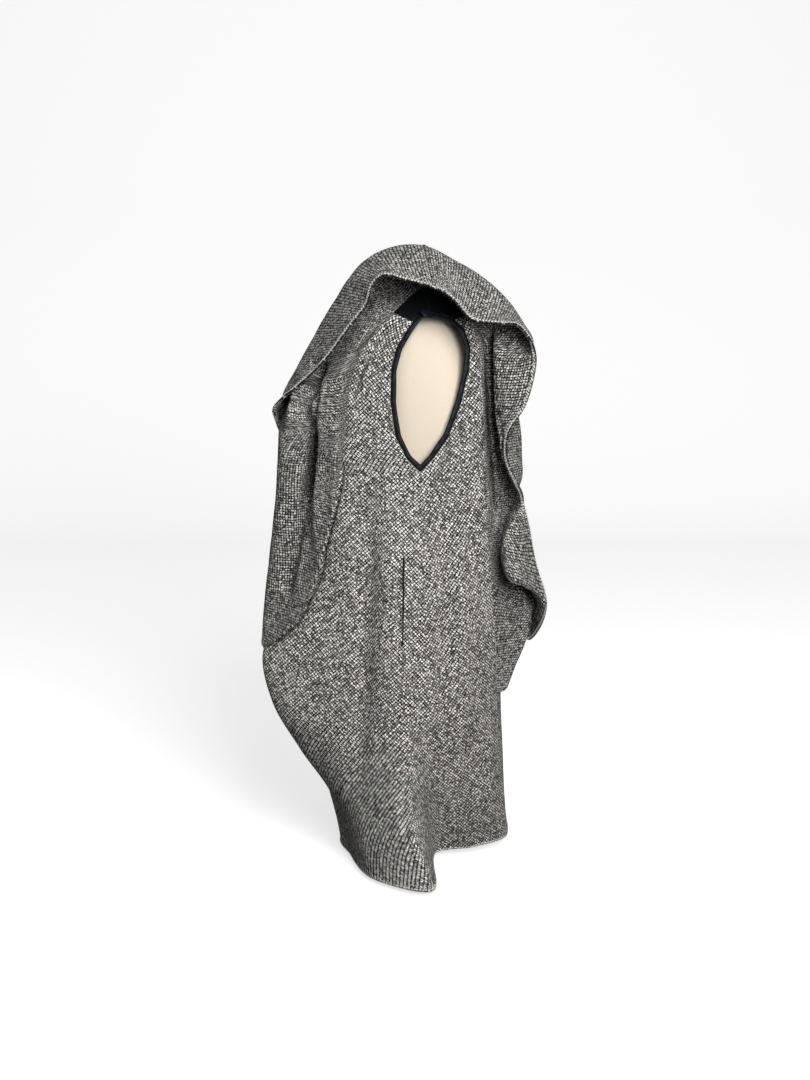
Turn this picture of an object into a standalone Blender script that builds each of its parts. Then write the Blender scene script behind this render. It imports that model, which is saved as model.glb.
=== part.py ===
"""A tweed cape with turned-up wings, standing on a limbless dress form.

Metres, +Z up. The front of the garment faces -Y and the wearer's left is +X. The origin is
the middle of the stand's foot, on the floor. The left half is described and the right half
mirrors it.
"""

from collections import namedtuple

import bmesh
import bpy
import numpy as np

# Cloth walls and the gaps between the pieces
TWEED_WALL = 0.0024
SATIN_WALL = 0.0012
SEAM_GAP = 0.0003
FRONT_GAP = 0.0016
SEAM_FLAT = 0.0020
WING_STANDOFF = 0.0018

# Bound armhole and slit pocket
BINDING_WIDTH = 0.0100
BINDING_THICK = 0.0044
BINDING_GAP = 0.0008
POCKET_LIP_WIDTH = 0.0090
POCKET_BOTTOM_Z = 0.462
POCKET_TOP_Z = 0.622
POCKET_MID_Y = -0.045

# Dress form and its stand
FORM_BOTTOM_Z = 0.300
NECK_TOP_Z = 1.130
NECK_CAP_RADIUS = 0.057
NECK_CAP_HEIGHT = 0.012
FORM_SQUARENESS = 0.62
POLE_RADIUS = 0.013
FOOT_RADIUS = 0.092
FOOT_HEIGHT = 0.014
FOOT_EDGE = 0.006

# Cross-sections of the body, from the hem up. Going round from the centre front, the
# stations are: centre front, front middle, front seam l, side front m and n, side seam s,
# side back b, back seam r, back middle and centre back.
Section = namedtuple(
    "Section",
    "name z front_y mid_front_y l_x l_y m_x m_y n_x n_y s_x s_y b_x b_y r_x r_y mid_back_y back_y",
)
BODY = [
    Section("hem", 0.008, -0.165, -0.168, 0.125, -0.148, 0.254, -0.100, 0.316, 0.008,
            0.132, 0.023, 0.116, 0.095, 0.075, 0.160, 0.168, 0.168),
    Section("shin", 0.120, -0.178, -0.188, 0.130, -0.176, 0.235, -0.125, 0.283, -0.031,
            0.178, 0.022, 0.155, 0.095, 0.098, 0.152, 0.160, 0.161),
    Section("knee", 0.230, -0.195, -0.229, 0.150, -0.241, 0.225, -0.145, 0.268, -0.042,
            0.215, 0.015, 0.178, 0.090, 0.116, 0.143, 0.151, 0.152),
    Section("bulge", 0.330, -0.205, -0.258, 0.168, -0.292, 0.215, -0.165, 0.256, -0.050,
            0.240, 0.006, 0.198, 0.085, 0.128, 0.138, 0.147, 0.148),
    Section("wing end", 0.430, -0.200, -0.250, 0.170, -0.308, 0.215, -0.165, 0.250, -0.060,
            0.243, 0.000, 0.207, 0.081, 0.154, 0.134, 0.146, 0.148),
    Section("hip", 0.500, -0.185, -0.220, 0.172, -0.264, 0.218, -0.140, 0.246, -0.060,
            0.240, -0.003, 0.212, 0.075, 0.168, 0.128, 0.142, 0.144),
    Section("pocket", 0.610, -0.172, -0.186, 0.182, -0.207, 0.222, -0.115, 0.238, -0.060,
            0.233, -0.006, 0.212, 0.065, 0.180, 0.118, 0.135, 0.138),
    Section("waist", 0.700, -0.162, -0.168, 0.188, -0.177, 0.215, -0.108, 0.230, -0.058,
            0.226, -0.009, 0.208, 0.060, 0.181, 0.109, 0.125, 0.128),
    Section("underarm", 0.775, -0.156, -0.160, 0.189, -0.161, 0.212, -0.102, 0.222, -0.055,
            0.220, -0.012, 0.206, 0.055, 0.182, 0.104, 0.118, 0.122),
    Section("chest", 0.860, -0.155, -0.158, 0.185, -0.149, 0.207, -0.098, 0.216, -0.050,
            0.215, -0.003, 0.205, 0.053, 0.183, 0.101, 0.114, 0.118),
    Section("mid armhole", 0.930, -0.150, -0.153, 0.180, -0.143, 0.200, -0.092, 0.208, -0.045,
            0.208, 0.000, 0.200, 0.052, 0.183, 0.099, 0.110, 0.113),
    Section("high armhole", 1.000, -0.140, -0.143, 0.176, -0.115, 0.192, -0.077, 0.198, -0.040,
            0.199, 0.000, 0.193, 0.050, 0.180, 0.095, 0.105, 0.108),
    Section("yoke line", 1.055, -0.118, -0.110, 0.168, -0.062, 0.180, -0.043, 0.188, -0.022,
            0.191, 0.000, 0.186, 0.038, 0.168, 0.072, 0.086, 0.092),
    Section("neck and shoulder", 1.080, -0.090, -0.074, 0.085, -0.005, 0.119, -0.004, 0.153,
            -0.003, 0.187, -0.002, 0.136, 0.002, 0.085, 0.005, 0.044, 0.062),
]

# How far a tilted section rises above its z at five of the stations.
Rise = namedtuple("Rise", "name front l s r back")
RISES = [
    Rise("hem", 0.0, 0.0, 0.006, 0.014, 0.016),
    Rise("high armhole", -0.025, 0.0, 0.0, 0.0, 0.015),
    Rise("yoke line", -0.045, 0.007, -0.018, 0.003, 0.030),
    Rise("neck and shoulder", -0.040, 0.032, -0.014, 0.032, 0.040),
]

# The armhole's edge: the depth in Y of its front and back at each height.
Armhole = namedtuple("Armhole", "z front_y back_y")
ARMHOLE = [
    Armhole(0.775, -0.012, -0.012),
    Armhole(0.800, -0.038, 0.012),
    Armhole(0.840, -0.058, 0.040),
    Armhole(0.900, -0.067, 0.062),
    Armhole(0.960, -0.066, 0.076),
    Armhole(1.000, -0.056, 0.079),
    Armhole(1.035, -0.035, 0.067),
    Armhole(1.055, -0.020, 0.045),
    Armhole(1.064, -0.004, -0.002),
]

# Sections across the wing, from the front hip up over the shoulder and down to the back hip.
# Each runs from its root on the front seam (l) or the back seam (r) over a fold, a valley and
# a crest to the rim.
Wing = namedtuple(
    "Wing",
    "seam root_z fold_x fold_y valley_x valley_y crest_x crest_y crest_z rim_x rim_y rim_z",
)
WING = [
    Wing("l", 0.432, 0.171, -0.307, 0.170, -0.308, 0.169, -0.309, 0.440, 0.167, -0.310, 0.443),
    Wing("l", 0.462, 0.203, -0.273, 0.180, -0.292, 0.160, -0.308, 0.475, 0.120, -0.305, 0.483),
    Wing("l", 0.500, 0.222, -0.234, 0.180, -0.272, 0.150, -0.305, 0.511, 0.095, -0.301, 0.521),
    Wing("l", 0.600, 0.234, -0.197, 0.184, -0.235, 0.152, -0.292, 0.610, 0.085, -0.285, 0.619),
    Wing("l", 0.700, 0.234, -0.172, 0.186, -0.207, 0.172, -0.277, 0.713, 0.085, -0.268, 0.720),
    Wing("l", 0.800, 0.233, -0.166, 0.186, -0.200, 0.178, -0.268, 0.814, 0.095, -0.270, 0.821),
    Wing("l", 0.860, 0.230, -0.166, 0.190, -0.199, 0.174, -0.264, 0.858, 0.120, -0.280, 0.861),
    Wing("l", 0.900, 0.227, -0.165, 0.196, -0.198, 0.158, -0.267, 0.890, 0.150, -0.284, 0.890),
    Wing("l", 0.940, 0.223, -0.160, 0.192, -0.196, 0.140, -0.263, 0.918, 0.185, -0.237, 0.928),
    Wing("l", 1.000, 0.212, -0.139, 0.166, -0.180, 0.130, -0.239, 0.962, 0.210, -0.188, 0.973),
    Wing("l", 1.055, 0.192, -0.095, 0.158, -0.140, 0.130, -0.195, 1.039, 0.232, -0.135, 1.040),
    Wing("l", 1.075, 0.158, -0.076, 0.138, -0.120, 0.130, -0.162, 1.092, 0.240, -0.106, 1.079),
    Wing("l", 1.085, 0.128, -0.066, 0.126, -0.104, 0.130, -0.142, 1.122, 0.240, -0.097, 1.109),
    Wing("l", 1.093, 0.108, -0.056, 0.114, -0.084, 0.130, -0.115, 1.152, 0.240, -0.077, 1.126),
    Wing("l", 1.102, 0.092, -0.040, 0.103, -0.056, 0.130, -0.072, 1.177, 0.245, -0.043, 1.119),
    Wing("l", 1.112, 0.080, -0.004, 0.095, -0.004, 0.130, -0.005, 1.182, 0.250, 0.012, 1.105),
    Wing("r", 1.100, 0.092, 0.040, 0.105, 0.052, 0.130, 0.061, 1.150, 0.250, 0.046, 1.083),
    Wing("r", 1.085, 0.115, 0.070, 0.120, 0.085, 0.130, 0.101, 1.126, 0.250, 0.078, 1.050),
    Wing("r", 1.065, 0.140, 0.094, 0.140, 0.115, 0.135, 0.144, 1.087, 0.250, 0.127, 1.043),
    Wing("r", 1.040, 0.154, 0.118, 0.165, 0.128, 0.170, 0.172, 1.043, 0.250, 0.159, 1.041),
    Wing("r", 1.010, 0.142, 0.131, 0.192, 0.123, 0.205, 0.187, 1.008, 0.250, 0.181, 1.016),
    Wing("r", 0.975, 0.134, 0.143, 0.208, 0.122, 0.226, 0.169, 0.975, 0.240, 0.194, 0.985),
    Wing("r", 0.940, 0.128, 0.152, 0.213, 0.124, 0.230, 0.157, 0.943, 0.240, 0.190, 0.947),
    Wing("r", 0.890, 0.124, 0.166, 0.213, 0.128, 0.228, 0.150, 0.891, 0.234, 0.175, 0.895),
    Wing("r", 0.845, 0.122, 0.175, 0.211, 0.134, 0.222, 0.141, 0.846, 0.229, 0.147, 0.850),
    Wing("r", 0.800, 0.122, 0.178, 0.207, 0.140, 0.217, 0.141, 0.802, 0.224, 0.144, 0.806),
    Wing("r", 0.755, 0.126, 0.178, 0.192, 0.157, 0.202, 0.160, 0.756, 0.206, 0.165, 0.759),
    Wing("r", 0.728, 0.128, 0.166, 0.170, 0.170, 0.182, 0.173, 0.728, 0.190, 0.176, 0.731),
    Wing("r", 0.700, 0.128, 0.155, 0.176, 0.170, 0.182, 0.177, 0.700, 0.176, 0.183, 0.703),
    Wing("r", 0.680, 0.130, 0.149, 0.194, 0.157, 0.196, 0.170, 0.676, 0.168, 0.189, 0.677),
    Wing("r", 0.660, 0.130, 0.145, 0.204, 0.146, 0.206, 0.164, 0.649, 0.158, 0.196, 0.645),
    Wing("r", 0.634, 0.136, 0.140, 0.208, 0.143, 0.209, 0.168, 0.607, 0.150, 0.211, 0.581),
    Wing("r", 0.612, 0.144, 0.142, 0.210, 0.154, 0.203, 0.179, 0.564, 0.145, 0.229, 0.515),
    Wing("r", 0.565, 0.146, 0.143, 0.128, 0.162, 0.116, 0.200, 0.518, 0.070, 0.189, 0.440),
    Wing("r", 0.500, 0.142, 0.147, 0.126, 0.171, 0.114, 0.201, 0.480, 0.074, 0.185, 0.429),
    Wing("r", 0.440, 0.136, 0.151, 0.122, 0.170, 0.110, 0.192, 0.437, 0.080, 0.179, 0.410),
    Wing("r", 0.385, 0.130, 0.147, 0.118, 0.159, 0.106, 0.172, 0.381, 0.088, 0.163, 0.378),
    Wing("r", 0.350, 0.127, 0.146, 0.120, 0.152, 0.112, 0.158, 0.347, 0.104, 0.157, 0.345),
    Wing("r", 0.335, 0.128, 0.142, 0.127, 0.144, 0.125, 0.146, 0.338, 0.123, 0.147, 0.340),
]
SHOULDER_ROW = 15

# Rings of the dress form, from its flat bottom to the top of its neck.
Ring = namedtuple("Ring", "z half_x half_y mid_y")
FORM = [
    Ring(0.300, 0.150, 0.098, -0.005),
    Ring(0.420, 0.170, 0.108, -0.005),
    Ring(0.520, 0.164, 0.104, -0.005),
    Ring(0.640, 0.158, 0.092, -0.005),
    Ring(0.760, 0.188, 0.098, -0.006),
    Ring(0.860, 0.196, 0.100, -0.006),
    Ring(0.940, 0.194, 0.097, -0.005),
    Ring(0.990, 0.187, 0.088, -0.004),
    Ring(1.025, 0.176, 0.075, -0.004),
    Ring(1.047, 0.158, 0.064, -0.006),
    Ring(1.064, 0.122, 0.056, -0.010),
    Ring(1.085, 0.069, 0.046, -0.014),
    Ring(1.102, 0.058, 0.048, -0.014),
    Ring(1.130, 0.055, 0.047, -0.014),
]

# Station numbers round the body, and section numbers up it
FRONT_SEAM, SIDE_SEAM, BACK_SEAM, CENTRE_BACK = 2, 5, 7, 9
ROUND = 2 * CENTRE_BACK
UNDERARM_ROW, YOKE_ROW, TOP_ROW = 8, 12, 13
WING_CONTROLS = 5

# Steps of the meshes
STEPS_LOW = 2
STEPS_ARMHOLE = 3
STEPS_TOP = 6
YOKE_SEAM, YOKE_FLAT = 0.006, 0.04
SHOULDER_SEAM, SHOULDER_REACH, SHOULDER_SHARE = 0.006, 0.1, 0.12
WING_END_STEP = 0.2
STEPS_FRONT, STEPS_SIDE_FRONT, STEPS_SIDE_BACK, STEPS_BACK = 4, 8, 5, 8
STEPS_YOKE = 5
STEPS_WING_ACROSS = 10
STEPS_FORM_ROUND, STEPS_FORM_UP = 28, 20
BINDING_SIDES = 6

# Finishes: colour, roughness, metallic
FINISHES = {
    "tweed": ((0.165, 0.160, 0.155), 0.95, 0.0),
    "black_satin": ((0.008, 0.010, 0.014), 0.35, 0.0),
    "cream_linen": ((0.76, 0.69, 0.60), 0.90, 0.0),
    "dark_metal": ((0.030, 0.030, 0.032), 0.45, 1.0),
}


def through(points, at):
    """Smooth curves through points[0], points[1] ..., read at the point numbers in at.

    points is (count, curves, 3) and at is (reads, curves). Each stretch is a cubic whose end
    slopes weigh the nearer neighbour more, so a short stretch beside a long one doesn't swing.
    """
    gap = np.diff(points, axis=0)
    step = np.sqrt(np.linalg.norm(gap, axis=2, keepdims=True))
    slope = gap / step
    inner = (slope[:-1] * step[1:] + slope[1:] * step[:-1]) / (step[1:] + step[:-1])
    slope = np.concatenate([slope[:1], inner, slope[-1:]])
    curve = np.arange(points.shape[1])[None, :]
    low = np.clip(np.floor(at), 0, len(points) - 2).astype(int)
    t = (at - low)[..., None]
    start, end = points[low, curve], points[low + 1, curve]
    leave, arrive = slope[low, curve] * step[low, curve], slope[low + 1, curve] * step[low, curve]
    bend = 2 * (start - end) + leave + arrive
    return start + t * (leave + t * (3 * (end - start) - 2 * leave - arrive + t * bend))


def body_rows():
    """The body's stations in space, section by section: (sections, stations, 3)."""
    rises = {rise.name: rise for rise in RISES}
    level = Rise("level", 0.0, 0.0, 0.0, 0.0, 0.0)
    known = [0, FRONT_SEAM, SIDE_SEAM, BACK_SEAM, CENTRE_BACK]
    rows = []
    for s in BODY:
        rise = np.interp(range(CENTRE_BACK + 1), known, rises.get(s.name, level)[1:])
        x = [0, 0.55 * s.l_x, s.l_x, s.m_x, s.n_x, s.s_x, s.b_x, s.r_x, 0.5 * s.r_x, 0]
        y = [s.front_y, s.mid_front_y, s.l_y, s.m_y, s.n_y, s.s_y, s.b_y, s.r_y, s.mid_back_y, s.back_y]
        rows.append(np.column_stack([x, y, s.z + rise]))
    return np.array(rows)


BODY_ROWS = body_rows()


def body(u, v):
    """Points of the body's outer face: u (reads, columns) in stations round, v (columns) in sections up."""
    stations = BODY_ROWS.shape[1]
    up = through(BODY_ROWS, np.repeat(v[:, None], stations, axis=1))
    left = np.moveaxis(up, 1, 0)
    right = left[-2:0:-1] * np.array([-1, 1, 1])
    ring = np.concatenate([right[-1:], left, right, left[:2]])
    return through(ring, u + 1)


def body_normal(u, v, reach=0.02):
    """Outward unit normals of the body, from small steps round it and up it."""
    round_it = body(u + reach, v) - body(u - reach, v)
    up_it = body(u, v + reach) - body(u, v - reach)
    normal = np.cross(round_it, up_it)
    return normal / np.linalg.norm(normal, axis=2, keepdims=True)


def spread(start, end, steps, v, gap=SEAM_GAP):
    """Stations from start to end, in even steps, with half a gap and a narrow flat step at each seam."""
    speed = [np.linalg.norm(body(u[None] + 0.02, v) - body(u[None] - 0.02, v), axis=2)[0] / 0.04
             for u in (start, end)]
    first, last = start + gap / 2 / speed[0], end - gap / 2 / speed[1]
    inner_first, inner_last = first + SEAM_FLAT / speed[0], last - SEAM_FLAT / speed[1]
    share = np.linspace(0, 1, steps + 1)[:, None]
    inside = inner_first + share * (inner_last - inner_first)
    return np.concatenate([first[None], inside, last[None]])


def side_heights():
    """Section numbers up the side panels, closer along the armhole, to just under the yoke."""
    low = np.linspace(0, UNDERARM_ROW, STEPS_LOW * UNDERARM_ROW, endpoint=False)
    rows = YOKE_ROW - UNDERARM_ROW
    mid = np.linspace(UNDERARM_ROW, YOKE_ROW, STEPS_ARMHOLE * rows, endpoint=False)
    return np.concatenate([low, mid, [YOKE_ROW - YOKE_SEAM - YOKE_FLAT, YOKE_ROW - YOKE_SEAM]])


def yoke_heights():
    """Section numbers up the yoke, from just over its front edge to the shoulder ridge."""
    start = YOKE_ROW + YOKE_SEAM
    return np.concatenate([[start], np.linspace(start + YOKE_FLAT, TOP_ROW, STEPS_TOP)])


def armhole_edge(v, seam, column):
    """The station where each section meets the armhole's front or back edge, or the side seam below it."""
    share = np.linspace(0, 1, 241)[:, None]
    u = np.repeat(seam + share * (SIDE_SEAM - seam), len(v), axis=1)
    points = body(u, v)
    heights_of = [row.z for row in ARMHOLE]
    edge = np.interp(points[..., 2], heights_of, [row[column] for row in ARMHOLE])
    past = (points[..., 1] - edge) * np.sign(SIDE_SEAM - seam) >= 0
    past[-1] = True
    found = u[np.argmax(past, axis=0), np.arange(len(v))]
    side_z = body(np.full((1, len(v)), float(SIDE_SEAM)), v)[0, :, 2]
    closed = (side_z <= heights_of[0] + 1e-6) | (side_z >= heights_of[-1])
    return np.where(closed, SIDE_SEAM, found)


def seam_rail(station, v):
    """Where a wing is sewn on: the body's seam, moved out by the wing's standoff."""
    u = np.full((1, len(v)), float(station))
    return body(u, v)[0] + WING_STANDOFF * body_normal(u, v)[0]


def wing_roots():
    """The section number of the body at which each of the wing's sections is rooted."""
    v = np.linspace(0, TOP_ROW, 400)
    heights = {"l": seam_rail(FRONT_SEAM, v)[:, 2], "r": seam_rail(BACK_SEAM, v)[:, 2]}
    return np.array([np.interp(row.root_z, heights[row.seam], v) for row in WING])


WING_ROOTS = wing_roots()


def wing(across, v, station):
    """Points of the left wing's front or back half: across (reads) from root 0 to rim 4, and v
    (columns) in the body's sections, up the front seam or down the back seam."""
    front = station == FRONT_SEAM
    rows = slice(0, SHOULDER_ROW + 1) if front else slice(SHOULDER_ROW, len(WING))
    roots = WING_ROOTS[rows].copy()
    roots[-1 if front else 0] = TOP_ROW
    numbers = np.arange(len(roots), dtype=float)
    along = np.interp(v, roots, numbers) if front else np.interp(-v, -roots, numbers)
    table = np.array([row[2:] for row in WING])
    along = along + rows.start
    flat = through(table[:, None, :], along[:, None])[:, 0]
    root = seam_rail(station, v)
    middle = (seam_rail(FRONT_SEAM, v) + seam_rail(BACK_SEAM, v)) / 2
    near_ridge = (v >= TOP_ROW - SHOULDER_REACH)[:, None]
    root = np.where(near_ridge, middle + SHOULDER_SHARE * (root - middle), root)
    rise = flat[:, 6] - root[:, 2]
    fold = np.column_stack([flat[:, 0:2], root[:, 2] + rise / 3])
    valley = np.column_stack([flat[:, 2:4], root[:, 2] + rise * 2 / 3])
    lines = np.stack([root, fold, valley, flat[:, 4:7], flat[:, 7:10]])
    return through(lines, np.repeat(across[:, None], len(v), axis=1))


def new_object(name, mesh_builder, finish, collection, wall=0.0, offset=-1.0):
    """An object whose mesh comes from a bmesh, shaded smooth, with its finish and its wall."""
    mesh = bpy.data.meshes.new(name)
    mesh_builder.to_mesh(mesh)
    mesh_builder.free()
    mesh.shade_smooth()
    mesh.set_sharp_from_angle(angle=np.radians(50))
    mesh.materials.append(finish_material(name, finish))
    made = bpy.data.objects.new(name, mesh)
    collection.objects.link(made)
    if wall:
        shell = made.modifiers.new("wall", "SOLIDIFY")
        shell.thickness = wall
        shell.offset = offset
    return made


def finish_material(name, finish):
    """The piece's own Principled material."""
    colour, roughness, metallic = FINISHES[finish]
    material = bpy.data.materials.new(f"{finish}_{name}")
    material.use_nodes = True
    shader = material.node_tree.nodes["Principled BSDF"]
    shader.inputs["Base Color"].default_value = (*colour, 1.0)
    shader.inputs["Roughness"].default_value = roughness
    shader.inputs["Metallic"].default_value = metallic
    return material


def grid_of(points):
    """A bmesh grid whose columns and rows are the first and second axes of points."""
    columns, rows = points.shape[:2]
    grid = bmesh.new()
    bmesh.ops.create_grid(grid, x_segments=columns - 1, y_segments=rows - 1, size=1)
    placed = np.moveaxis(points, 0, 1).reshape(-1, 3)
    for vertex, place in zip(grid.verts, placed, strict=True):
        vertex.co = place
    return grid


def mirrored(points):
    """The right-hand twin of a left-hand grid, with its columns reversed so that it still faces out."""
    return points[::-1] * np.array([-1, 1, 1])


def add_body_panels(collection):
    """Fronts, side fronts, side backs and the back, each cut from the body between its seams."""
    v_side, v_yoke = side_heights(), yoke_heights()
    v_neck = np.concatenate([v_side, v_yoke])

    def at(station, rows):
        return np.full(len(rows), float(station))

    panels = {
        "front": (spread(at(0, v_neck), at(FRONT_SEAM, v_neck), STEPS_FRONT, v_neck, FRONT_GAP), v_neck),
        "side_front": (
            spread(at(FRONT_SEAM, v_side), armhole_edge(v_side, FRONT_SEAM, 1), STEPS_SIDE_FRONT, v_side),
            v_side,
        ),
        "side_back": (
            spread(armhole_edge(v_side, BACK_SEAM, 2), at(BACK_SEAM, v_side), STEPS_SIDE_BACK, v_side),
            v_side,
        ),
    }
    for name, (u, rows) in panels.items():
        points = body(u, rows)
        new_object(f"{name}_left", grid_of(points), "tweed", collection, TWEED_WALL)
        new_object(f"{name}_right", grid_of(mirrored(points)), "tweed", collection, TWEED_WALL)
    u_back = spread(at(BACK_SEAM, v_neck), at(ROUND - BACK_SEAM, v_neck), STEPS_BACK, v_neck)
    new_object("back", grid_of(body(u_back, v_neck)), "tweed", collection, TWEED_WALL)


def yoke_points():
    """The shoulder saddle: from its front edge up to the ridge, and down to its back edge."""
    v = yoke_heights()
    front_u = spread(np.full(len(v), float(FRONT_SEAM)), armhole_edge(v, FRONT_SEAM, 1), STEPS_YOKE, v)
    back_u = spread(armhole_edge(v, BACK_SEAM, 2), np.full(len(v), float(BACK_SEAM)), STEPS_YOKE, v)
    front, back = body(front_u, v), body(back_u[::-1], v)
    ridge = (front[:, -1:] + back[:, -1:]) / 2
    return np.concatenate([front[:, :-1], ridge, back[:, -2::-1]], axis=1)


def add_yokes(collection):
    """The satin saddles over the shoulders."""
    points = yoke_points()
    new_object("yoke_left", grid_of(points), "black_satin", collection, SATIN_WALL)
    new_object("yoke_right", grid_of(mirrored(points)), "black_satin", collection, SATIN_WALL)


def binding_points():
    """The armhole's binding: a flattened round section carried along the edge, closed into a loop."""
    v = np.concatenate([side_heights(), yoke_heights()])
    v = v[v >= UNDERARM_ROW]
    front = armhole_edge(v, FRONT_SEAM, 1)
    back = armhole_edge(v, BACK_SEAM, 2)
    u = np.concatenate([front, back[-2:0:-1]])
    rows = np.concatenate([v, v[-2:0:-1]])
    edge = body(u[None], rows)[0]
    out = body_normal(u[None], rows)[0]
    along = np.roll(edge, -1, axis=0) - np.roll(edge, 1, axis=0)
    inward = np.cross(along, out)
    inward /= np.linalg.norm(inward, axis=1, keepdims=True)
    middle = edge + inward * (BINDING_GAP + BINDING_WIDTH / 2) - out * TWEED_WALL / 2
    turn = np.arange(BINDING_SIDES + 1) * 2 * np.pi / BINDING_SIDES
    ring = (middle[None]
            + np.cos(turn)[:, None, None] * inward[None] * BINDING_WIDTH / 2
            + np.sin(turn)[:, None, None] * out[None] * BINDING_THICK / 2)
    return np.concatenate([ring, ring[:, :1]], axis=1)


def closed_grid(points):
    """A grid whose meeting edges are merged, with its faces turned outwards."""
    grid = grid_of(points)
    bmesh.ops.remove_doubles(grid, verts=grid.verts, dist=1e-6)
    bmesh.ops.recalc_face_normals(grid, faces=grid.faces)
    if grid.calc_volume(signed=True) < 0:
        bmesh.ops.reverse_faces(grid, faces=grid.faces)
    return grid


def add_bindings(collection):
    """The satin bindings round the armholes."""
    points = binding_points()
    new_object("armhole_binding_left", closed_grid(points), "black_satin", collection)
    new_object("armhole_binding_right", closed_grid(mirrored(points)), "black_satin", collection)


def pocket_points():
    """The pocket's lip: a narrow strip of the side front's own face, moved out by a seam gap."""
    v = np.linspace(4, 7, 61)
    share = np.linspace(FRONT_SEAM, SIDE_SEAM, 121)
    face = body(np.repeat(share[:, None], len(v), axis=1), v)
    rows = np.interp(np.linspace(POCKET_BOTTOM_Z, POCKET_TOP_Z, 9), face[0, :, 2], v)
    face = body(np.repeat(share[:, None], len(rows), axis=1), rows)
    widths = POCKET_MID_Y - POCKET_LIP_WIDTH * np.array([1.0, 0.5, 0.0])
    u = np.array([[np.interp(y, face[:, row, 1], share) for row in range(len(rows))] for y in widths])
    return body(u, rows) + SEAM_GAP * body_normal(u, rows)


def add_pocket_lips(collection):
    """The lips of the slit pockets in the side fronts."""
    points = pocket_points()
    new_object("pocket_lip_left", grid_of(points), "tweed", collection, TWEED_WALL, 1.0)
    new_object("pocket_lip_right", grid_of(mirrored(points)), "tweed", collection, TWEED_WALL, 1.0)


def add_wings(collection):
    """Front and back halves of the turned-up wings, joined at the shoulder seam."""
    across = np.linspace(0, WING_CONTROLS - 1, STEPS_WING_ACROSS + 1)
    rows = np.concatenate([side_heights(), yoke_heights()])
    rows[-1] -= SHOULDER_SEAM
    front_end, back_end = WING_ROOTS[0], WING_ROOTS[-1]
    front = np.insert(rows[rows > front_end + WING_END_STEP], 0, front_end)
    back = np.insert(rows[rows > back_end + WING_END_STEP], 0, back_end)[::-1]
    for name, v, station in (("wing_front", front, FRONT_SEAM), ("wing_back", back, BACK_SEAM)):
        points = wing(across, v, station)
        new_object(f"{name}_left", grid_of(points), "tweed", collection, TWEED_WALL, 0.0)
        new_object(f"{name}_right", grid_of(mirrored(points)), "tweed", collection, TWEED_WALL, 0.0)


def form_points():
    """Ellipse rings up the dress form, with both ends drawn in to a point."""
    read = np.linspace(0, len(FORM) - 1, STEPS_FORM_UP + 1)[:, None]
    z, half_x, half_y, mid_y = through(np.array(FORM)[:, None, :], read)[:, 0].T
    turn = np.linspace(0, 2 * np.pi, STEPS_FORM_ROUND + 1)[:, None]
    across, deep = (np.sign(wave) * np.abs(wave) ** FORM_SQUARENESS for wave in (np.cos(turn), np.sin(turn)))
    rings = np.stack([half_x * across, mid_y + half_y * deep, z + 0 * turn], axis=2)
    ends = [np.broadcast_to([0, mid_y[end], z[end]], rings[:, :1].shape) for end in (0, -1)]
    return np.concatenate([ends[0], rings, ends[1]], axis=1)


def turned(name, profile, finish, collection, steps=32):
    """A turned piece: a half profile of (radius, z) from the top down, swept round Z."""
    outline = bmesh.new()
    verts = [outline.verts.new((radius, 0, z)) for radius, z in profile]
    for first, second in zip(verts[:-1], verts[1:]):
        outline.edges.new((first, second))
    made = new_object(name, outline, finish, collection)
    sweep = made.modifiers.new("turn", "SCREW")
    sweep.steps = sweep.render_steps = steps
    sweep.use_merge_vertices = True
    sweep.merge_threshold = 0.00001
    return made


def add_dress_form(collection):
    """The linen torso, its neck cap, the pole and the round foot."""
    new_object("form_torso", closed_grid(form_points()), "cream_linen", collection)
    cap_bottom = NECK_TOP_Z + SEAM_GAP
    cap_top = cap_bottom + NECK_CAP_HEIGHT
    edge = NECK_CAP_HEIGHT / 3
    cap = [(0, cap_top), (NECK_CAP_RADIUS - edge, cap_top), (NECK_CAP_RADIUS, cap_top - edge),
           (NECK_CAP_RADIUS, cap_bottom), (0, cap_bottom)]
    turned("form_neck_cap", cap, "dark_metal", collection).location.y = FORM[-1].mid_y
    pole = [(0, FORM_BOTTOM_Z - SEAM_GAP), (POLE_RADIUS, FORM_BOTTOM_Z - SEAM_GAP),
            (POLE_RADIUS, FOOT_HEIGHT + SEAM_GAP), (0, FOOT_HEIGHT + SEAM_GAP)]
    turned("stand_pole", pole, "dark_metal", collection, 16)
    foot = [(0, FOOT_HEIGHT), (FOOT_RADIUS - FOOT_EDGE, FOOT_HEIGHT - FOOT_EDGE / 2),
            (FOOT_RADIUS, FOOT_HEIGHT - FOOT_EDGE), (FOOT_RADIUS, 0), (0, 0)]
    foot.insert(1, (3 * POLE_RADIUS, FOOT_HEIGHT))
    turned("stand_foot", foot, "dark_metal", collection)


def main():
    for old in list(bpy.data.objects):
        bpy.data.objects.remove(old, do_unlink=True)
    collection = bpy.data.collections.new("cape_on_dress_form")
    bpy.context.scene.collection.children.link(collection)
    add_body_panels(collection)
    add_yokes(collection)
    add_bindings(collection)
    add_pocket_lips(collection)
    add_wings(collection)
    add_dress_form(collection)


main()
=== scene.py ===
"""Cloth, stitching and studio for a winged tweed cape on a dress form.

Metres, +Z up, front of the garment towards -Y, wearer's left +X. The left half is described and
the right half mirrors it, with its creases a little shifted.
"""

from collections import namedtuple

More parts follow.
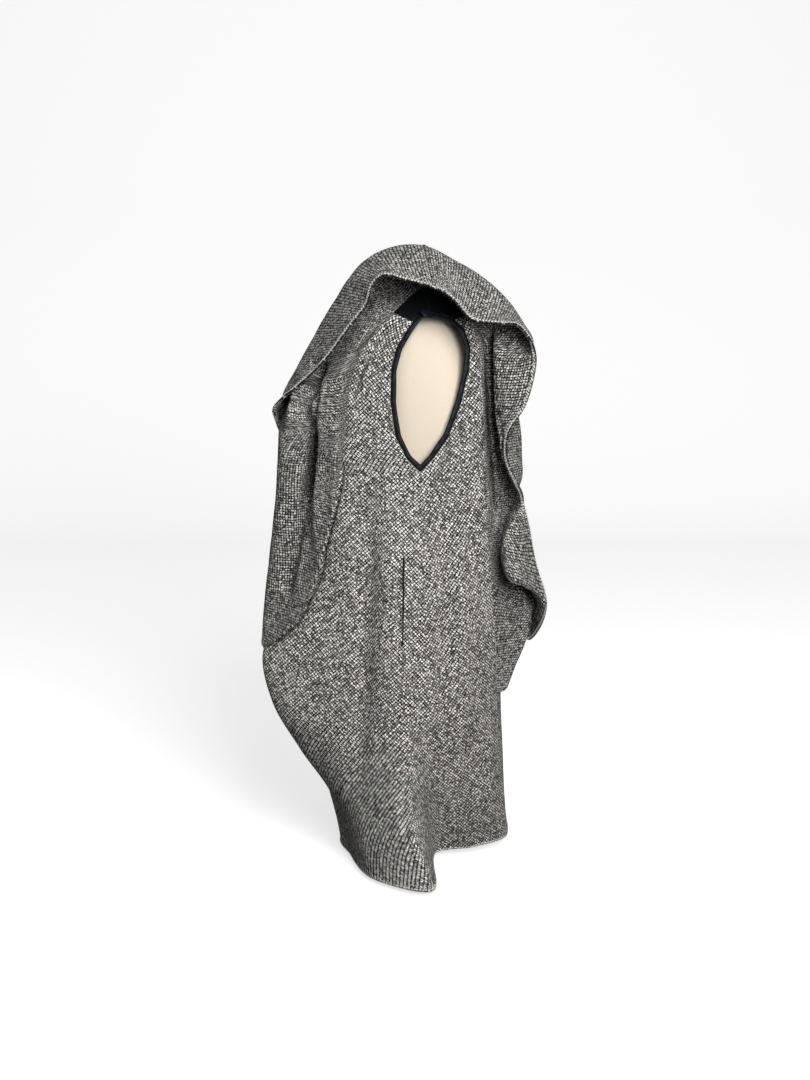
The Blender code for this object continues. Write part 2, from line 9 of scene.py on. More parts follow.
import bpy
import numpy as np
from bpy.props import FloatProperty, FloatVectorProperty, PointerProperty
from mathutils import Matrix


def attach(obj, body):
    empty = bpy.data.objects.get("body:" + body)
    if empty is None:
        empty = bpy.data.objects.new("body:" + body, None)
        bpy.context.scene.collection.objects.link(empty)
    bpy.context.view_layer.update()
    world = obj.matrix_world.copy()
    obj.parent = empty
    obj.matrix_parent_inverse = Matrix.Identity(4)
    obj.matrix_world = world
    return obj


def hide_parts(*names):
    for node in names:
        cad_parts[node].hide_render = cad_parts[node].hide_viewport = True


bl_info = {
    "name": "Winged tweed cape",
    "version": (1, 0, 0),
    "blender": (4, 5, 0),
    "location": "View3D > Sidebar > Cape",
    "description": "Drapes the cloth of a winged tweed cape over its dress form",
    "category": "Object",
}

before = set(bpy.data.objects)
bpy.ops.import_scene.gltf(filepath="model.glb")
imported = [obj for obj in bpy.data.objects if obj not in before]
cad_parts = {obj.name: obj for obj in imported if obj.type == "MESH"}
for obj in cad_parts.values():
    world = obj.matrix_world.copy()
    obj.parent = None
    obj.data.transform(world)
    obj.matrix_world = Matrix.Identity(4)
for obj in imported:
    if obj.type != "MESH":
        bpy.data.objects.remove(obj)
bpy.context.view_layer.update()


def in_metres(kind, rows):
    """A table's rows with named columns, their sizes turned from millimetres into metres."""
    return [kind(*(v if isinstance(v, str) else v / 1000 for v in row)) for row in rows]


# Cross-sections of the body, from the hem up. Going round from the centre front, the
# stations are: centre front, front middle, front seam l, side front m and n, side seam s,
# side back b, back seam r, back middle and centre back.
Section = namedtuple(
    "Section",
    "name z front_y mid_front_y l_x l_y m_x m_y n_x n_y s_x s_y b_x b_y r_x r_y mid_back_y back_y",
)
BODY = in_metres(Section, [
    ("hem", 8, -165, -168, 125, -148, 254, -100, 316, 8, 132, 23, 116, 95, 75, 160, 168, 168),
    ("shin", 120, -178, -188, 130, -176, 235, -125, 283, -31, 178, 22, 155, 95, 98, 152, 160, 161),
    ("knee", 230, -195, -229, 150, -241, 225, -145, 268, -42, 215, 15, 178, 90, 116, 143, 151, 152),
    ("bulge", 330, -205, -258, 168, -292, 215, -165, 256, -50, 240, 6, 198, 85, 128, 138, 147, 148),
    ("wing end", 430, -200, -250, 170, -308, 215, -165, 250, -60, 243, 0, 207, 81, 154, 134, 146, 148),
    ("hip", 500, -185, -220, 172, -264, 218, -140, 246, -60, 240, -3, 212, 75, 168, 128, 142, 144),
    ("pocket", 610, -172, -186, 182, -207, 222, -115, 238, -60, 233, -6, 212, 65, 180, 118, 135, 138),
    ("waist", 700, -162, -168, 188, -177, 215, -108, 230, -58, 226, -9, 208, 60, 181, 109, 125, 128),
    ("underarm", 775, -156, -160, 189, -161, 212, -102, 222, -55, 220, -12, 206, 55, 182, 104, 118, 122),
    ("chest", 860, -155, -158, 185, -149, 207, -98, 216, -50, 215, -3, 205, 53, 183, 101, 114, 118),
    ("mid armhole", 930, -150, -153, 180, -143, 200, -92, 208, -45, 208, 0, 200, 52, 183, 99, 110, 113),
    ("high armhole", 1000, -140, -143, 176, -115, 192, -77, 198, -40, 199, 0, 193, 50, 180, 95, 105, 108),
    ("yoke line", 1055, -118, -110, 168, -62, 180, -43, 188, -22, 191, 0, 186, 38, 168, 72, 86, 92),
    ("neck and shoulder", 1080, -90, -74, 85, -5, 119, -4, 153, -3, 187, -2, 136, 2, 85, 5, 44, 62),
])

# How far a tilted section rises above its z at five of the stations.
Rise = namedtuple("Rise", "name front l s r back")
RISES = in_metres(Rise, [
    ("hem", 0, 0, 6, 14, 16),
    ("high armhole", -25, 0, 0, 0, 15),
    ("yoke line", -45, 7, -18, 3, 30),
    ("neck and shoulder", -40, 32, -14, 32, 40),
])

# The armhole's edge: the depth in Y of its front and back at each height.
Armhole = namedtuple("Armhole", "z front_y back_y")
ARMHOLE = in_metres(Armhole, [
    (775, -12, -12),
    (800, -38, 12),
    (840, -58, 40),
    (900, -67, 62),
    (960, -66, 76),
    (1000, -56, 79),
    (1035, -35, 67),
    (1055, -20, 45),
    (1064, -4, -2),
])

# Sections across the wing, from the front hip up over the shoulder and down to the back hip.
# Each runs from its root on the front seam (l) or the back seam (r) over a fold, a valley and
# a crest to the rim.
Wing = namedtuple(
    "Wing",
    "seam root_z fold_x fold_y valley_x valley_y crest_x crest_y crest_z rim_x rim_y rim_z",
)
WING = in_metres(Wing, [
    ("l", 432, 171, -307, 170, -308, 169, -309, 440, 167, -310, 443),
    ("l", 462, 203, -273, 180, -292, 160, -308, 475, 120, -305, 483),
    ("l", 500, 222, -234, 180, -272, 150, -305, 511, 95, -301, 521),
    ("l", 600, 234, -197, 184, -235, 152, -292, 610, 85, -285, 619),
    ("l", 700, 234, -172, 186, -207, 172, -277, 713, 85, -268, 720),
    ("l", 800, 233, -166, 186, -200, 178, -268, 814, 95, -270, 821),
    ("l", 860, 230, -166, 190, -199, 174, -264, 858, 120, -280, 861),
    ("l", 900, 227, -165, 196, -198, 158, -267, 890, 150, -284, 890),
    ("l", 940, 223, -160, 192, -196, 140, -263, 918, 185, -237, 928),
    ("l", 1000, 212, -139, 166, -180, 130, -239, 962, 210, -188, 973),
    ("l", 1055, 192, -95, 158, -140, 130, -195, 1039, 232, -135, 1040),
    ("l", 1075, 158, -76, 138, -120, 130, -162, 1092, 240, -106, 1079),
    ("l", 1085, 128, -66, 126, -104, 130, -142, 1122, 240, -97, 1109),
    ("l", 1093, 108, -56, 114, -84, 130, -115, 1152, 240, -77, 1126),
    ("l", 1102, 92, -40, 103, -56, 130, -72, 1177, 245, -43, 1119),
    ("l", 1112, 80, -4, 95, -4, 130, -5, 1182, 250, 12, 1105),
    ("r", 1100, 92, 40, 105, 52, 130, 61, 1150, 250, 46, 1083),
    ("r", 1085, 115, 70, 120, 85, 130, 101, 1126, 250, 78, 1050),
    ("r", 1065, 140, 94, 140, 115, 135, 144, 1087, 250, 127, 1043),
    ("r", 1040, 154, 118, 165, 128, 170, 172, 1043, 250, 159, 1041),
    ("r", 1010, 142, 131, 192, 123, 205, 187, 1008, 250, 181, 1016),
    ("r", 975, 134, 143, 208, 122, 226, 169, 975, 240, 194, 985),
    ("r", 940, 128, 152, 213, 124, 230, 157, 943, 240, 190, 947),
    ("r", 890, 124, 166, 213, 128, 228, 150, 891, 234, 175, 895),
    ("r", 845, 122, 175, 211, 134, 222, 141, 846, 229, 147, 850),
    ("r", 800, 122, 178, 207, 140, 217, 141, 802, 224, 144, 806),
    ("r", 755, 126, 178, 192, 157, 202, 160, 756, 206, 165, 759),
    ("r", 728, 128, 166, 170, 170, 182, 173, 728, 190, 176, 731),
    ("r", 700, 128, 155, 176, 170, 182, 177, 700, 176, 183, 703),
    ("r", 680, 130, 149, 194, 157, 196, 170, 676, 168, 189, 677),
    ("r", 660, 130, 145, 204, 146, 206, 164, 649, 158, 196, 645),
    ("r", 634, 136, 140, 208, 143, 209, 168, 607, 150, 211, 581),
    ("r", 612, 144, 142, 210, 154, 203, 179, 564, 145, 229, 515),
    ("r", 592, 142, 143, 110, 153, 30, 179, 580, 55, 207, 424),
    ("r", 565, 146, 143, 128, 162, 116, 200, 518, 70, 189, 440),
    ("r", 500, 142, 147, 126, 171, 114, 201, 480, 74, 185, 429),
    ("r", 440, 136, 151, 122, 170, 110, 192, 437, 80, 179, 410),
    ("r", 385, 130, 147, 118, 159, 106, 172, 381, 88, 163, 378),
    ("r", 350, 127, 146, 120, 152, 112, 158, 347, 104, 157, 345),
    ("r", 335, 128, 142, 127, 144, 125, 146, 338, 123, 147, 340),
])
SHOULDER_ROW = 15

# Rings of the dress form, from its flat bottom to the top of its neck.
Ring = namedtuple("Ring", "z half_x half_y mid_y")
FORM = in_metres(Ring, [
    (300, 150, 98, -5),
    (420, 170, 108, -5),
    (520, 164, 104, -5),
    (640, 158, 92, -5),
    (760, 188, 98, -6),
    (860, 196, 100, -6),
    (940, 194, 97, -5),
    (990, 187, 88, -4),
    (1025, 176, 75, -4),
    (1047, 158, 64, -6),
    (1064, 122, 56, -10),
    (1085, 69, 46, -14),
    (1102, 58, 48, -14),
    (1130, 55, 47, -14),
])
FORM_SQUARENESS = 0.62

# Soft creases of the side panels, seen from the side: a bowed line through three points in Y and
# Z, the half width of its trough, and its height, which is negative for a trough.
Crease = namedtuple("Crease", "y0 z0 y1 z1 y2 z2 half_width height")
SIDE_CREASES = in_metres(Crease, [
    (-104, 760, -116, 480, -138, 60, 20, -12.5),
    (-68, 740, -66, 500, -72, 300, 26, 6.5),
    (32, 780, 34, 540, 30, 250, 16, -9),
    (62, 720, 68, 480, 72, 160, 16, 6),
    (-112, 404, -88, 382, -58, 394, 5, -3.6),
    (-160, 452, -134, 424, -106, 392, 8, -3.4),
    (-262, 474, -235, 455, -200, 448, 10, -4),
    (-285, 384, -255, 396, -220, 420, 12, -3),
    (-220, 352, -190, 372, -160, 380, 12, 2.8),
    (-196, 560, -170, 480, -165, 380, 15, -4),
    (-60, 300, -52, 180, -40, 40, 24, 6),
    (80, 300, 86, 170, 84, 30, 18, -6.5),
    (120, 300, 122, 160, 124, 30, 18, 4.5),
])

# Tucks of the side fronts where the wing lies on them, seen from the side.
SIDE_TUCKS = in_metres(Crease, [
    (-153, 795, -174, 699, -206, 585, 5.5, -13),
    (-190, 640, -223, 536, -302, 450, 6, -19),
    (-218, 544, -250, 490, -304, 446, 6, -15),
    (-50, 1046, -106, 990, -142, 880, 5, -12),
])

# Creases of the front and back panels, seen from the front: the same columns with X for Y.
FRONT_CREASES = in_metres(Crease, [
    (60, 900, 66, 640, 50, 420, 18, -4),
    (40, 320, 50, 180, 58, 20, 18, 5),
    (90, 260, 96, 140, 104, 20, 14, -4.5),
])
BACK_CREASES = in_metres(Crease, [
    (-70, 960, -60, 560, -50, 30, 20, -5),
    (70, 960, 64, 560, 56, 30, 20, -4.5),
    (4, 840, 0, 440, -4, 30, 24, 5),
])

# Creases of the wings' front halves, seen from the side.
WING_FRONT_CREASES = in_metres(Crease, [
    (-195.5, 866, -198.5, 805, -218, 705, 6.5, -50),
    (-200, 850, -212, 782, -232, 690, 10, -30),
    (-184, 960, -186, 800, -208, 600, 9, 17),
    (-200, 912, -200, 888, -201, 862, 8, 12),
    (-208, 770, -240, 645, -266, 515, 9.5, -18),
    (-262, 640, -264, 580, -262, 520, 8, -7),
    (-222, 700, -232, 600, -250, 520, 8, 4),
    (-216, 955, -238, 905, -262, 835, 9, 17),
    (-188, 985, -210, 934, -234, 868, 10, -42),
    (-98, 1095, -84, 1074, -74, 1050, 3, 4.5),
    (-106, 1088, -94, 1066, -84, 1040, 3, 4.5),
    (-86, 1104, -72, 1086, -60, 1066, 3, 4.5),
])
WING_HOLLOWS = in_metres(Crease, [
    (-236, 962, -262, 900, -282, 836, 12, -65),
    (96, 1060, 112, 860, 131, 630, 5, -42),
    (222, 560, 224, 515, 208, 470, 11, -50),
])
WING_BACK_CREASES = in_metres(Crease, [
    (128, 980, 132, 860, 138, 720, 8, -5),
    (150, 640, 166, 560, 186, 500, 12, 7),
    (190, 560, 205, 520, 215, 490, 10, -8),
])
MIRROR_SHIFT, MIRROR_SHARE = (0.007, -0.012), 0.9

# The cut of each sheet of cloth: flat width and length, flat area, and how it is held.
Cut = namedtuple("Cut", "width length area held")

# Station numbers round the body, and section numbers up it
FRONT_SEAM, SIDE_SEAM, BACK_SEAM, CENTRE_BACK = 2, 5, 7, 9
ROUND = 2 * CENTRE_BACK
UNDERARM_ROW, YOKE_ROW, TOP_ROW = 8, 12, 13
WING_CONTROLS = 5
FLIP = np.array([-1, 1, 1])

# Places of the front's and the back's middle stations, as shares of the way to the seam
FRONT_MIDDLE, BACK_MIDDLE = 0.55, 0.5

# How far below the ridge a wing's root leans over to the shoulder seam, in sections
SHOULDER_REACH = 0.1

# Waves of the cloth's slow unevenness: their size and their height
PANEL_RIPPLE = 0.11, 0.0011
WING_RIPPLE = 0.09, 0.0012

# The share of a crease over which each of its ends fades out, and the distance over which
# creases and tucks fade out at a panel's seam, and creases and hollows at a wing's root and rim
CREASE_FADE = 0.3
SEAM_FADE, TUCK_FADE = 0.018, 0.003
ROOT_FADE, HOLLOW_FADE, RIM_FADE = 0.020, 0.006, 0.050

# How far across a wing its hollows reach, below and above the heights where its front turns up,
# and where they begin and end to fade out there
HOLLOW_REACH_LOW, HOLLOW_REACH_HIGH = 3.75, 3.0
TURN_UP = 0.890, 0.915
HOLLOW_EDGE = -0.2, 0.1

# Depth and half width of the groove of the shoulder seam
SHOULDER_GROOVE, SHOULDER_GROOVE_WIDTH = 0.0030, 0.0035

# Angle of the side panels' grain, and how far the weave wanders, in repeats
BIAS = 50.0
WEAVE_WANDER = 1.10

# Stitches: lean ahead and to the side, half length as a share of their distance, sides and rings,
# and how far inside the turned edge they run, as a share of its depth
STITCH_LEAN = 0.88, 0.48
STITCH_SHARE = 0.42
STITCH_SIDES, STITCH_RINGS = 6, 4
STITCH_INSIDE = 0.62

# The sections between which the pocket lies, its rows, and its tack's. The slit's strip of painted
# shade gapes from a share of its width at the bottom, along a power curve.
POCKET_SECTIONS = 4, 7
POCKET_ROWS, TACK_ROWS = 80, 4
SLIT_SHARE, SLIT_CURVE = 0.25, 0.6

# Rows and columns of the meshes, and how close they stand beside an edge
ROWS_UP = 170
PANEL_COLUMNS = {"front": 38, "side_front": 130, "side_back": 44, "back": 60}
ROWS_WING, WING_COLUMNS, WING_WIDTH = 208, 100, 0.26
YOKE_ROWS, YOKE_COLUMNS = 40, 26
BINDING_STEPS, BINDING_SIDES = 420, 16
LIP_COLUMNS, SLIT_COLUMNS, TACK_COLUMNS = 15, 5, 9
FORM_ROWS, FORM_SIDES = 110, 120
EDGE_STEPS = np.array([0.0, 0.0004, 0.0010, 0.0018, 0.0030, 0.0046, 0.0066, 0.0090, 0.0120])

# Reads of the lines on which places are looked up
LINE_READS, ARMHOLE_READS, ROW_READS = 400, 481, 1600
POCKET_UP_READS, POCKET_ROUND_READS = 121, 241
CREASE_POINTS = 25

# Angle past which the form's edges stay sharp, in degrees
FORM_SHARP = 60.0


def through(points, at):
    """Smooth curves through points[0], points[1] ..., read at the point numbers in at.

    points is (count, curves, axes) and at is (reads, curves). Each stretch is a cubic whose end
    slopes weigh the nearer neighbour more, so a short stretch beside a long one doesn't swing.
    """
    gap = np.diff(points, axis=0)
    step = np.sqrt(np.linalg.norm(gap, axis=2, keepdims=True))
    slope = gap / step
    inner = (slope[:-1] * step[1:] + slope[1:] * step[:-1]) / (step[1:] + step[:-1])
    slope = np.concatenate([slope[:1], inner, slope[-1:]])
    curve = np.arange(points.shape[1])[None, :]
    low = np.clip(np.floor(at), 0, len(points) - 2).astype(int)
    t = (at - low)[..., None]
    start, end = points[low, curve], points[low + 1, curve]
    leave, arrive = slope[low, curve] * step[low, curve], slope[low + 1, curve] * step[low, curve]
    bend = 2 * (start - end) + leave + arrive
    return start + t * (leave + t * (3 * (end - start) - 2 * leave - arrive + t * bend))


def body_rows():
    """The body's stations in space, section by section: (sections, stations, 3)."""
    rises = {rise.name: rise for rise in RISES}
    level = Rise("level", 0.0, 0.0, 0.0, 0.0, 0.0)
    known = [0, FRONT_SEAM, SIDE_SEAM, BACK_SEAM, CENTRE_BACK]
    rows = []
    for s in BODY:
        rise = np.interp(range(CENTRE_BACK + 1), known, rises.get(s.name, level)[1:])
        x = [0, FRONT_MIDDLE * s.l_x, s.l_x, s.m_x, s.n_x, s.s_x, s.b_x, s.r_x, BACK_MIDDLE * s.r_x, 0]
        y = [s.front_y, s.mid_front_y, s.l_y, s.m_y, s.n_y, s.s_y, s.b_y, s.r_y, s.mid_back_y, s.back_y]
        rows.append(np.column_stack([x, y, s.z + rise]))
    return np.array(rows)


BODY_ROWS = body_rows()


def body(u, v):
    """Points of the body's outer face: u (reads, columns) in stations round, v (columns) in sections up.

    Each station is a smooth curve up the sections, and each height a smooth closed ring through
    the stations.
    """
    stations = BODY_ROWS.shape[1]
    up = through(BODY_ROWS, np.repeat(v[:, None], stations, axis=1))
    left = np.moveaxis(up, 1, 0)
    right = left[-2:0:-1] * FLIP
    ring = np.concatenate([right[-1:], left, right, left[:2]])
    return through(ring, u + 1)


def body_normal(u, v, reach=0.02):
    """Outward unit normals of the body, from small steps round it and up it."""
    round_it = body(u + reach, v) - body(u - reach, v)
    up_it = body(u, v + reach) - body(u, v - reach)
    return unit(np.cross(round_it, up_it))


def at_station(station, v):
    """One station's number for each section."""
    return np.full(len(v), float(station))


def armhole_edge(v, seam, column):
    """The station where each section meets the armhole's front or back edge, or the side seam below it."""
    share = np.linspace(0, 1, ARMHOLE_READS)[:, None]
    u = np.repeat(seam + share * (SIDE_SEAM - seam), len(v), axis=1)
    points = body(u, v)
    heights = [row.z for row in ARMHOLE]
    edge = np.interp(points[..., 2], heights, [row[column] for row in ARMHOLE])
    past = (points[..., 1] - edge) * np.sign(SIDE_SEAM - seam)
    past[-1] = np.maximum(past[-1], 1e-9)
    after = np.argmax(past >= 0, axis=0)
    before = np.maximum(after - 1, 0)
    each = np.arange(len(v))
    low, high = past[before, each], past[after, each]
    part = np.where(high > low, -low / np.where(high > low, high - low, 1), 0)
    found = u[before, each] + np.clip(part, 0, 1) * (u[after, each] - u[before, each])
    side_z = body(at_station(SIDE_SEAM, v)[None], v)[0, :, 2]
    closed = (side_z <= heights[0] + 1e-6) | (side_z >= heights[-1])
    return np.where(closed, SIDE_SEAM, found)


def seam_rail(station, v, standoff):
    """Where a wing is sewn on: the body's seam, moved out by the wing's standoff."""
    u = at_station(station, v)[None]
    return body(u, v)[0] + standoff * body_normal(u, v)[0]


def wing_roots(standoff):
    """The section number of the body at which each of the wing's sections is rooted."""
    v = np.linspace(0, TOP_ROW, LINE_READS)
    heights = {
        "l": seam_rail(FRONT_SEAM, v, standoff)[:, 2],
        "r": seam_rail(BACK_SEAM, v, standoff)[:, 2],
    }
    return np.array([np.interp(row.root_z, heights[row.seam], v) for row in WING])


def wing(across, v, station, standoff):
    """Points of the left wing's front or back half: across (reads) from root 0 to rim 4, and v
    (columns) in the body's sections, up the front seam or down the back seam.

    Each section is a smooth curve through its root, fold, valley, crest and rim, and each of
    these runs smoothly from section to section.
    """
    front = station == FRONT_SEAM
    rows = slice(0, SHOULDER_ROW + 1) if front else slice(SHOULDER_ROW, len(WING))
    roots = wing_roots(standoff)[rows]
    roots[-1 if front else 0] = TOP_ROW
    numbers = np.arange(len(roots), dtype=float)
    along = np.interp(v, roots, numbers) if front else np.interp(-v, -roots, numbers)
    table = np.array([row[2:] for row in WING])
    flat = through(table[:, None, :], (along + rows.start)[:, None])[:, 0]
    root = seam_rail(station, v, standoff)
    middle = (seam_rail(FRONT_SEAM, v, standoff) + seam_rail(BACK_SEAM, v, standoff)) / 2
    near_ridge = np.clip((v - TOP_ROW + 2 * SHOULDER_REACH) / SHOULDER_REACH, 0, 1)[:, None]
    root = root + near_ridge * (middle - root)
    rise = flat[:, 6] - root[:, 2]
    fold = np.column_stack([flat[:, 0:2], root[:, 2] + rise / 3])
    valley = np.column_stack([flat[:, 2:4], root[:, 2] + rise * 2 / 3])
    lines = np.stack([root, fold, valley, flat[:, 4:7], flat[:, 7:10]])
    return through(lines, np.repeat(across[:, None], len(v), axis=1))


def graded(length, steps):
    """Shares from 0 to 1 in even steps, with closer ones beside both ends."""
    near = EDGE_STEPS / length
    inside = np.linspace(near[-1], 1 - near[-1], steps)[1:-1]
    return np.concatenate([near, inside, 1 - near[::-1]])


def smooth_step(low, high, value):
    """0 below low, 1 above high, and an S curve between them."""
    t = np.clip((value - low) / (high - low), 0, 1)
    return t * t * (3 - 2 * t)


def arc(points, axis):
    """Distance travelled along the grid's axis, from its first line."""
    steps = np.linalg.norm(np.diff(points, axis=axis), axis=2)
    start = np.zeros_like(np.take(steps, [0], axis=axis))
    return np.concatenate([start, np.cumsum(steps, axis=axis)], axis=axis)


def to_ends(run, axis):
    """Distance to the nearer end, from the distance travelled along a grid's axis."""
    return np.minimum(run, np.take(run, [-1], axis=axis) - run)


def to_border(over, along):
    """Distance to the nearest edge of a grid, from the distances travelled over and along it."""
    return np.minimum(to_ends(over, 0), to_ends(along, 1))


def run_along(line):
    """Distance travelled along a line of places."""
    return arc(line[:, None], 0)[:, 0]


def read_line(line, run, at):
    """A line of places or normals read at distances of its run."""
    return np.column_stack([np.interp(at, run, values) for values in line.T])


def unit(vectors):
    """Vectors of length one."""
    return vectors / np.linalg.norm(vectors, axis=-1, keepdims=True)


def face_normals(points):
    """Unit normals of a grid: first axis crossed with second."""
    normal = np.cross(np.gradient(points, axis=0), np.gradient(points, axis=1))
    return normal / np.maximum(np.linalg.norm(normal, axis=2, keepdims=True), 1e-12)


def crease_relief(flat, creases, shift=(0.0, 0.0), share=1.0):
    """Height of the creases at flat points (..., 2).

    Each crease is a bell across a line bowed through three points, fading out at both ends.
    """
    total = np.zeros(flat.shape[:-1])
    t = np.linspace(0, 1, CREASE_POINTS)[:, None]
    for row in creases:
        start, middle, end = (np.array(row[i:i + 2]) + shift for i in (0, 2, 4))
        bow = 2 * middle - (start + end) / 2
        line = (1 - t) ** 2 * start + 2 * t * (1 - t) * bow + t ** 2 * end
        stretch = np.diff(line, axis=0)
        along = np.sum((flat[..., None, :] - line[:-1]) * stretch, axis=-1) / np.sum(stretch ** 2, axis=-1)
        foot = line[:-1] + np.clip(along, 0, 1)[..., None] * stretch
        away = np.linalg.norm(flat[..., None, :] - foot, axis=-1)
        nearest = np.argmin(away, axis=-1)
        part = np.take_along_axis(np.clip(along, 0, 1), nearest[..., None], axis=-1)[..., 0]
        place = (nearest + part) / len(stretch)
        fade = smooth_step(0, CREASE_FADE, place) * smooth_step(0, CREASE_FADE, 1 - place)
        total += share * row.height * fade * np.exp(-((away.min(axis=-1) / row.half_width) ** 2))
    return total


def cloth_ripple(points, size, height):
    """A slow unevenness of the cloth: three crossed waves of about one size."""
    x, y, z = np.moveaxis(points / size, 2, 0)
    waves = np.sin(5.1 * y + 2.3 * z + 1.0) + np.sin(3.7 * z - 4.3 * y + 2.1) + np.sin(4.9 * x + 4.1 * z)
    return height * waves / 3


def quads_of(columns, rows, closed_columns=False, closed_rows=False):
    """Corner numbers of the quads of a grid, wrapped round where it is closed."""
    starts = np.arange(columns - (not closed_columns)), np.arange(rows - (not closed_rows))
    i, j = (grid.ravel() for grid in np.meshgrid(*starts, indexing="ij"))
    far_i, far_j = (i + 1) % columns, (j + 1) % rows
    return np.stack([i * rows + j, far_i * rows + j, far_i * rows + far_j, i * rows + far_j], axis=1)


def border_of(columns, rows):
    """Corner numbers round the outside of a grid, in the order its quads run along it."""
    i, j = np.arange(columns), np.arange(rows)
    loop = np.concatenate([i * rows, (columns - 1) * rows + j[1:], i[-2::-1] * rows + rows - 1, j[-2:0:-1]])
    return loop, np.roll(loop, -1)


def mesh_piece(name, corners, quads, cloth_map=None):
    """A smooth mesh object from corner places and quads, with a map in metres of the cloth."""
    mesh = bpy.data.meshes.new(name)
    mesh.from_pydata(corners, [], quads)
    mesh.shade_smooth()
    if cloth_map is not None:
        layer = mesh.uv_layers.new(name="cloth")
        layer.data.foreach_set("uv", cloth_map[quads.ravel()].astype(np.float32).ravel())
    mesh.validate()
    piece = bpy.data.objects.new(name, mesh)
    bpy.context.scene.collection.objects.link(piece)
    return piece


def wall_piece(name, face, inside, outside, cloth_map):
    """A closed wall of cloth: a grid moved out and in along its normals, joined round its border."""
    columns, rows = face.shape[:2]
    normal = face_normals(face)
    corners = np.concatenate([
        (face + normal * outside[..., None]).reshape(-1, 3),
        (face - normal * inside[..., None]).reshape(-1, 3),
    ])
    count = columns * rows
    outer = quads_of(columns, rows)
    loop, after = border_of(columns, rows)
    rim = np.stack([after, loop, loop + count, after + count], axis=1)
    quads = np.concatenate([outer, outer[:, ::-1] + count, rim])
    flat = cloth_map.reshape(-1, 2)
    return mesh_piece(name, corners, quads, np.concatenate([flat, flat]))


def rounded(away, half):
    """Half the cloth's thickness beside an edge: a quarter circle of that radius."""
    inside = np.clip(away / np.maximum(half, 1e-6), 0, 1)
    return half * np.sqrt(np.maximum(1 - (1 - inside) ** 2, 0.0004))


def turned(points, angle):
    """A cloth map turned by the angle of its grain."""
    c, s = np.cos(np.radians(angle)), np.sin(np.radians(angle))
    return points @ np.array([[c, s], [-s, c]])


def mirrored(points):
    """The right-hand twin of a left-hand grid, with its columns reversed so that it still faces out."""
    return points[::-1] * FLIP


def shader_math(operation, other_first=False):
    """A method that adds a Math node to a value and its other terms."""
    def method(self, *others):
        terms = (*others, self) if other_first else (self, *others)
        return self.finish.node("ShaderNodeMath", {"operation": operation}, dict(enumerate(terms)))
    return method


class Value:
    """A shader socket as a number: arithmetic on it adds Math nodes."""

    __add__, __radd__ = shader_math("ADD"), shader_math("ADD", True)
    __mul__, __rmul__ = shader_math("MULTIPLY"), shader_math("MULTIPLY", True)
    __rsub__ = shader_math("SUBTRACT", True)
    least, cosine = shader_math("MINIMUM"), shader_math("COSINE")

    def __init__(self, finish, socket):
        self.finish = finish
        self.socket = socket

    def step(self, low, high):
        """0 below low, 1 above high, and an S curve between them."""
        return self.finish.node("ShaderNodeMapRange", {"interpolation_type": "SMOOTHSTEP"},
                                {"Value": self, "From Min": low, "From Max": high})

    def between(self, low, high):
        """A share turned into a number from low to high."""
        return low + (high - low) * self


class Finish:
    """A material under construction, round one Principled shader."""

    def __init__(self, name):
        self.material = bpy.data.materials.new(name)
        self.material.use_nodes = True
        self.tree = self.material.node_tree
        self.shader = self.tree.nodes["Principled BSDF"]

    def link(self, socket, value):
        """Sets a socket, or links a Value to it."""
        if isinstance(value, Value):
            self.tree.links.new(value.socket, socket)
        else:
            socket.default_value = value

    def node(self, kind, settings, inputs, output=0):
        """Adds a node with its settings, then the values or links of its sockets, and gives one output."""
        made = self.tree.nodes.new(kind)
        for name, value in settings.items():
            setattr(made, name, value)
        for name, value in inputs.items():
            self.link(made.inputs[name], value)
        return Value(self, made.outputs[output])

    def vector(self, operation, *terms):
        """A step of vector arithmetic."""
        return self.node("ShaderNodeVectorMath", {"operation": operation}, dict(enumerate(terms)))

    def scaled(self, vector, factor):
        """A vector times a number."""
        return self.node("ShaderNodeVectorMath", {"operation": "SCALE"}, {0: vector, "Scale": factor})

    def parts(self, vector):
        """The first two parts of a vector."""
        split = self.node("ShaderNodeSeparateXYZ", {}, {0: vector}).socket.node
        return [Value(self, part) for part in split.outputs[:2]]

    def place(self):
        """The place on the object, in metres."""
        return self.node("ShaderNodeTexCoord", {}, {}, "Object")

    def mix(self, share, first, second):
        """A colour between two colours."""
        settings = {"data_type": "RGBA"}
        return self.node("ShaderNodeMix", settings, {"Factor": share, 6: first, 7: second}, 2)

    def noise(self, place, scale, detail=2.0, output=0):
        """Noise in 3D at a scale in features a metre."""
        inputs = {"Vector": place, "Scale": scale, "Detail": detail}
        return self.node("ShaderNodeTexNoise", {}, inputs, output)

    def chance(self, dimensions, **value):
        """A random share for each whole value, which goes into the socket of its name."""
        return self.node("ShaderNodeTexWhiteNoise", {"noise_dimensions": dimensions}, value)

    def bump(self, strength, distance, height):
        """The normal over a height that is counted in the distance."""
        inputs = {"Strength": strength, "Distance": distance, "Height": height}
        return self.node("ShaderNodeBump", {}, inputs)

    def set(self, **values):
        """Sets or links the shader's own sockets, named with underscores."""
        for name, value in values.items():
            self.link(self.shader.inputs[name.replace("_", " ")], value)
        return self.material


def rgba(colour, share=1.0):
    """A colour with its alpha, made darker or lighter by a share."""
    return (*(share * c for c in colour), 1.0)


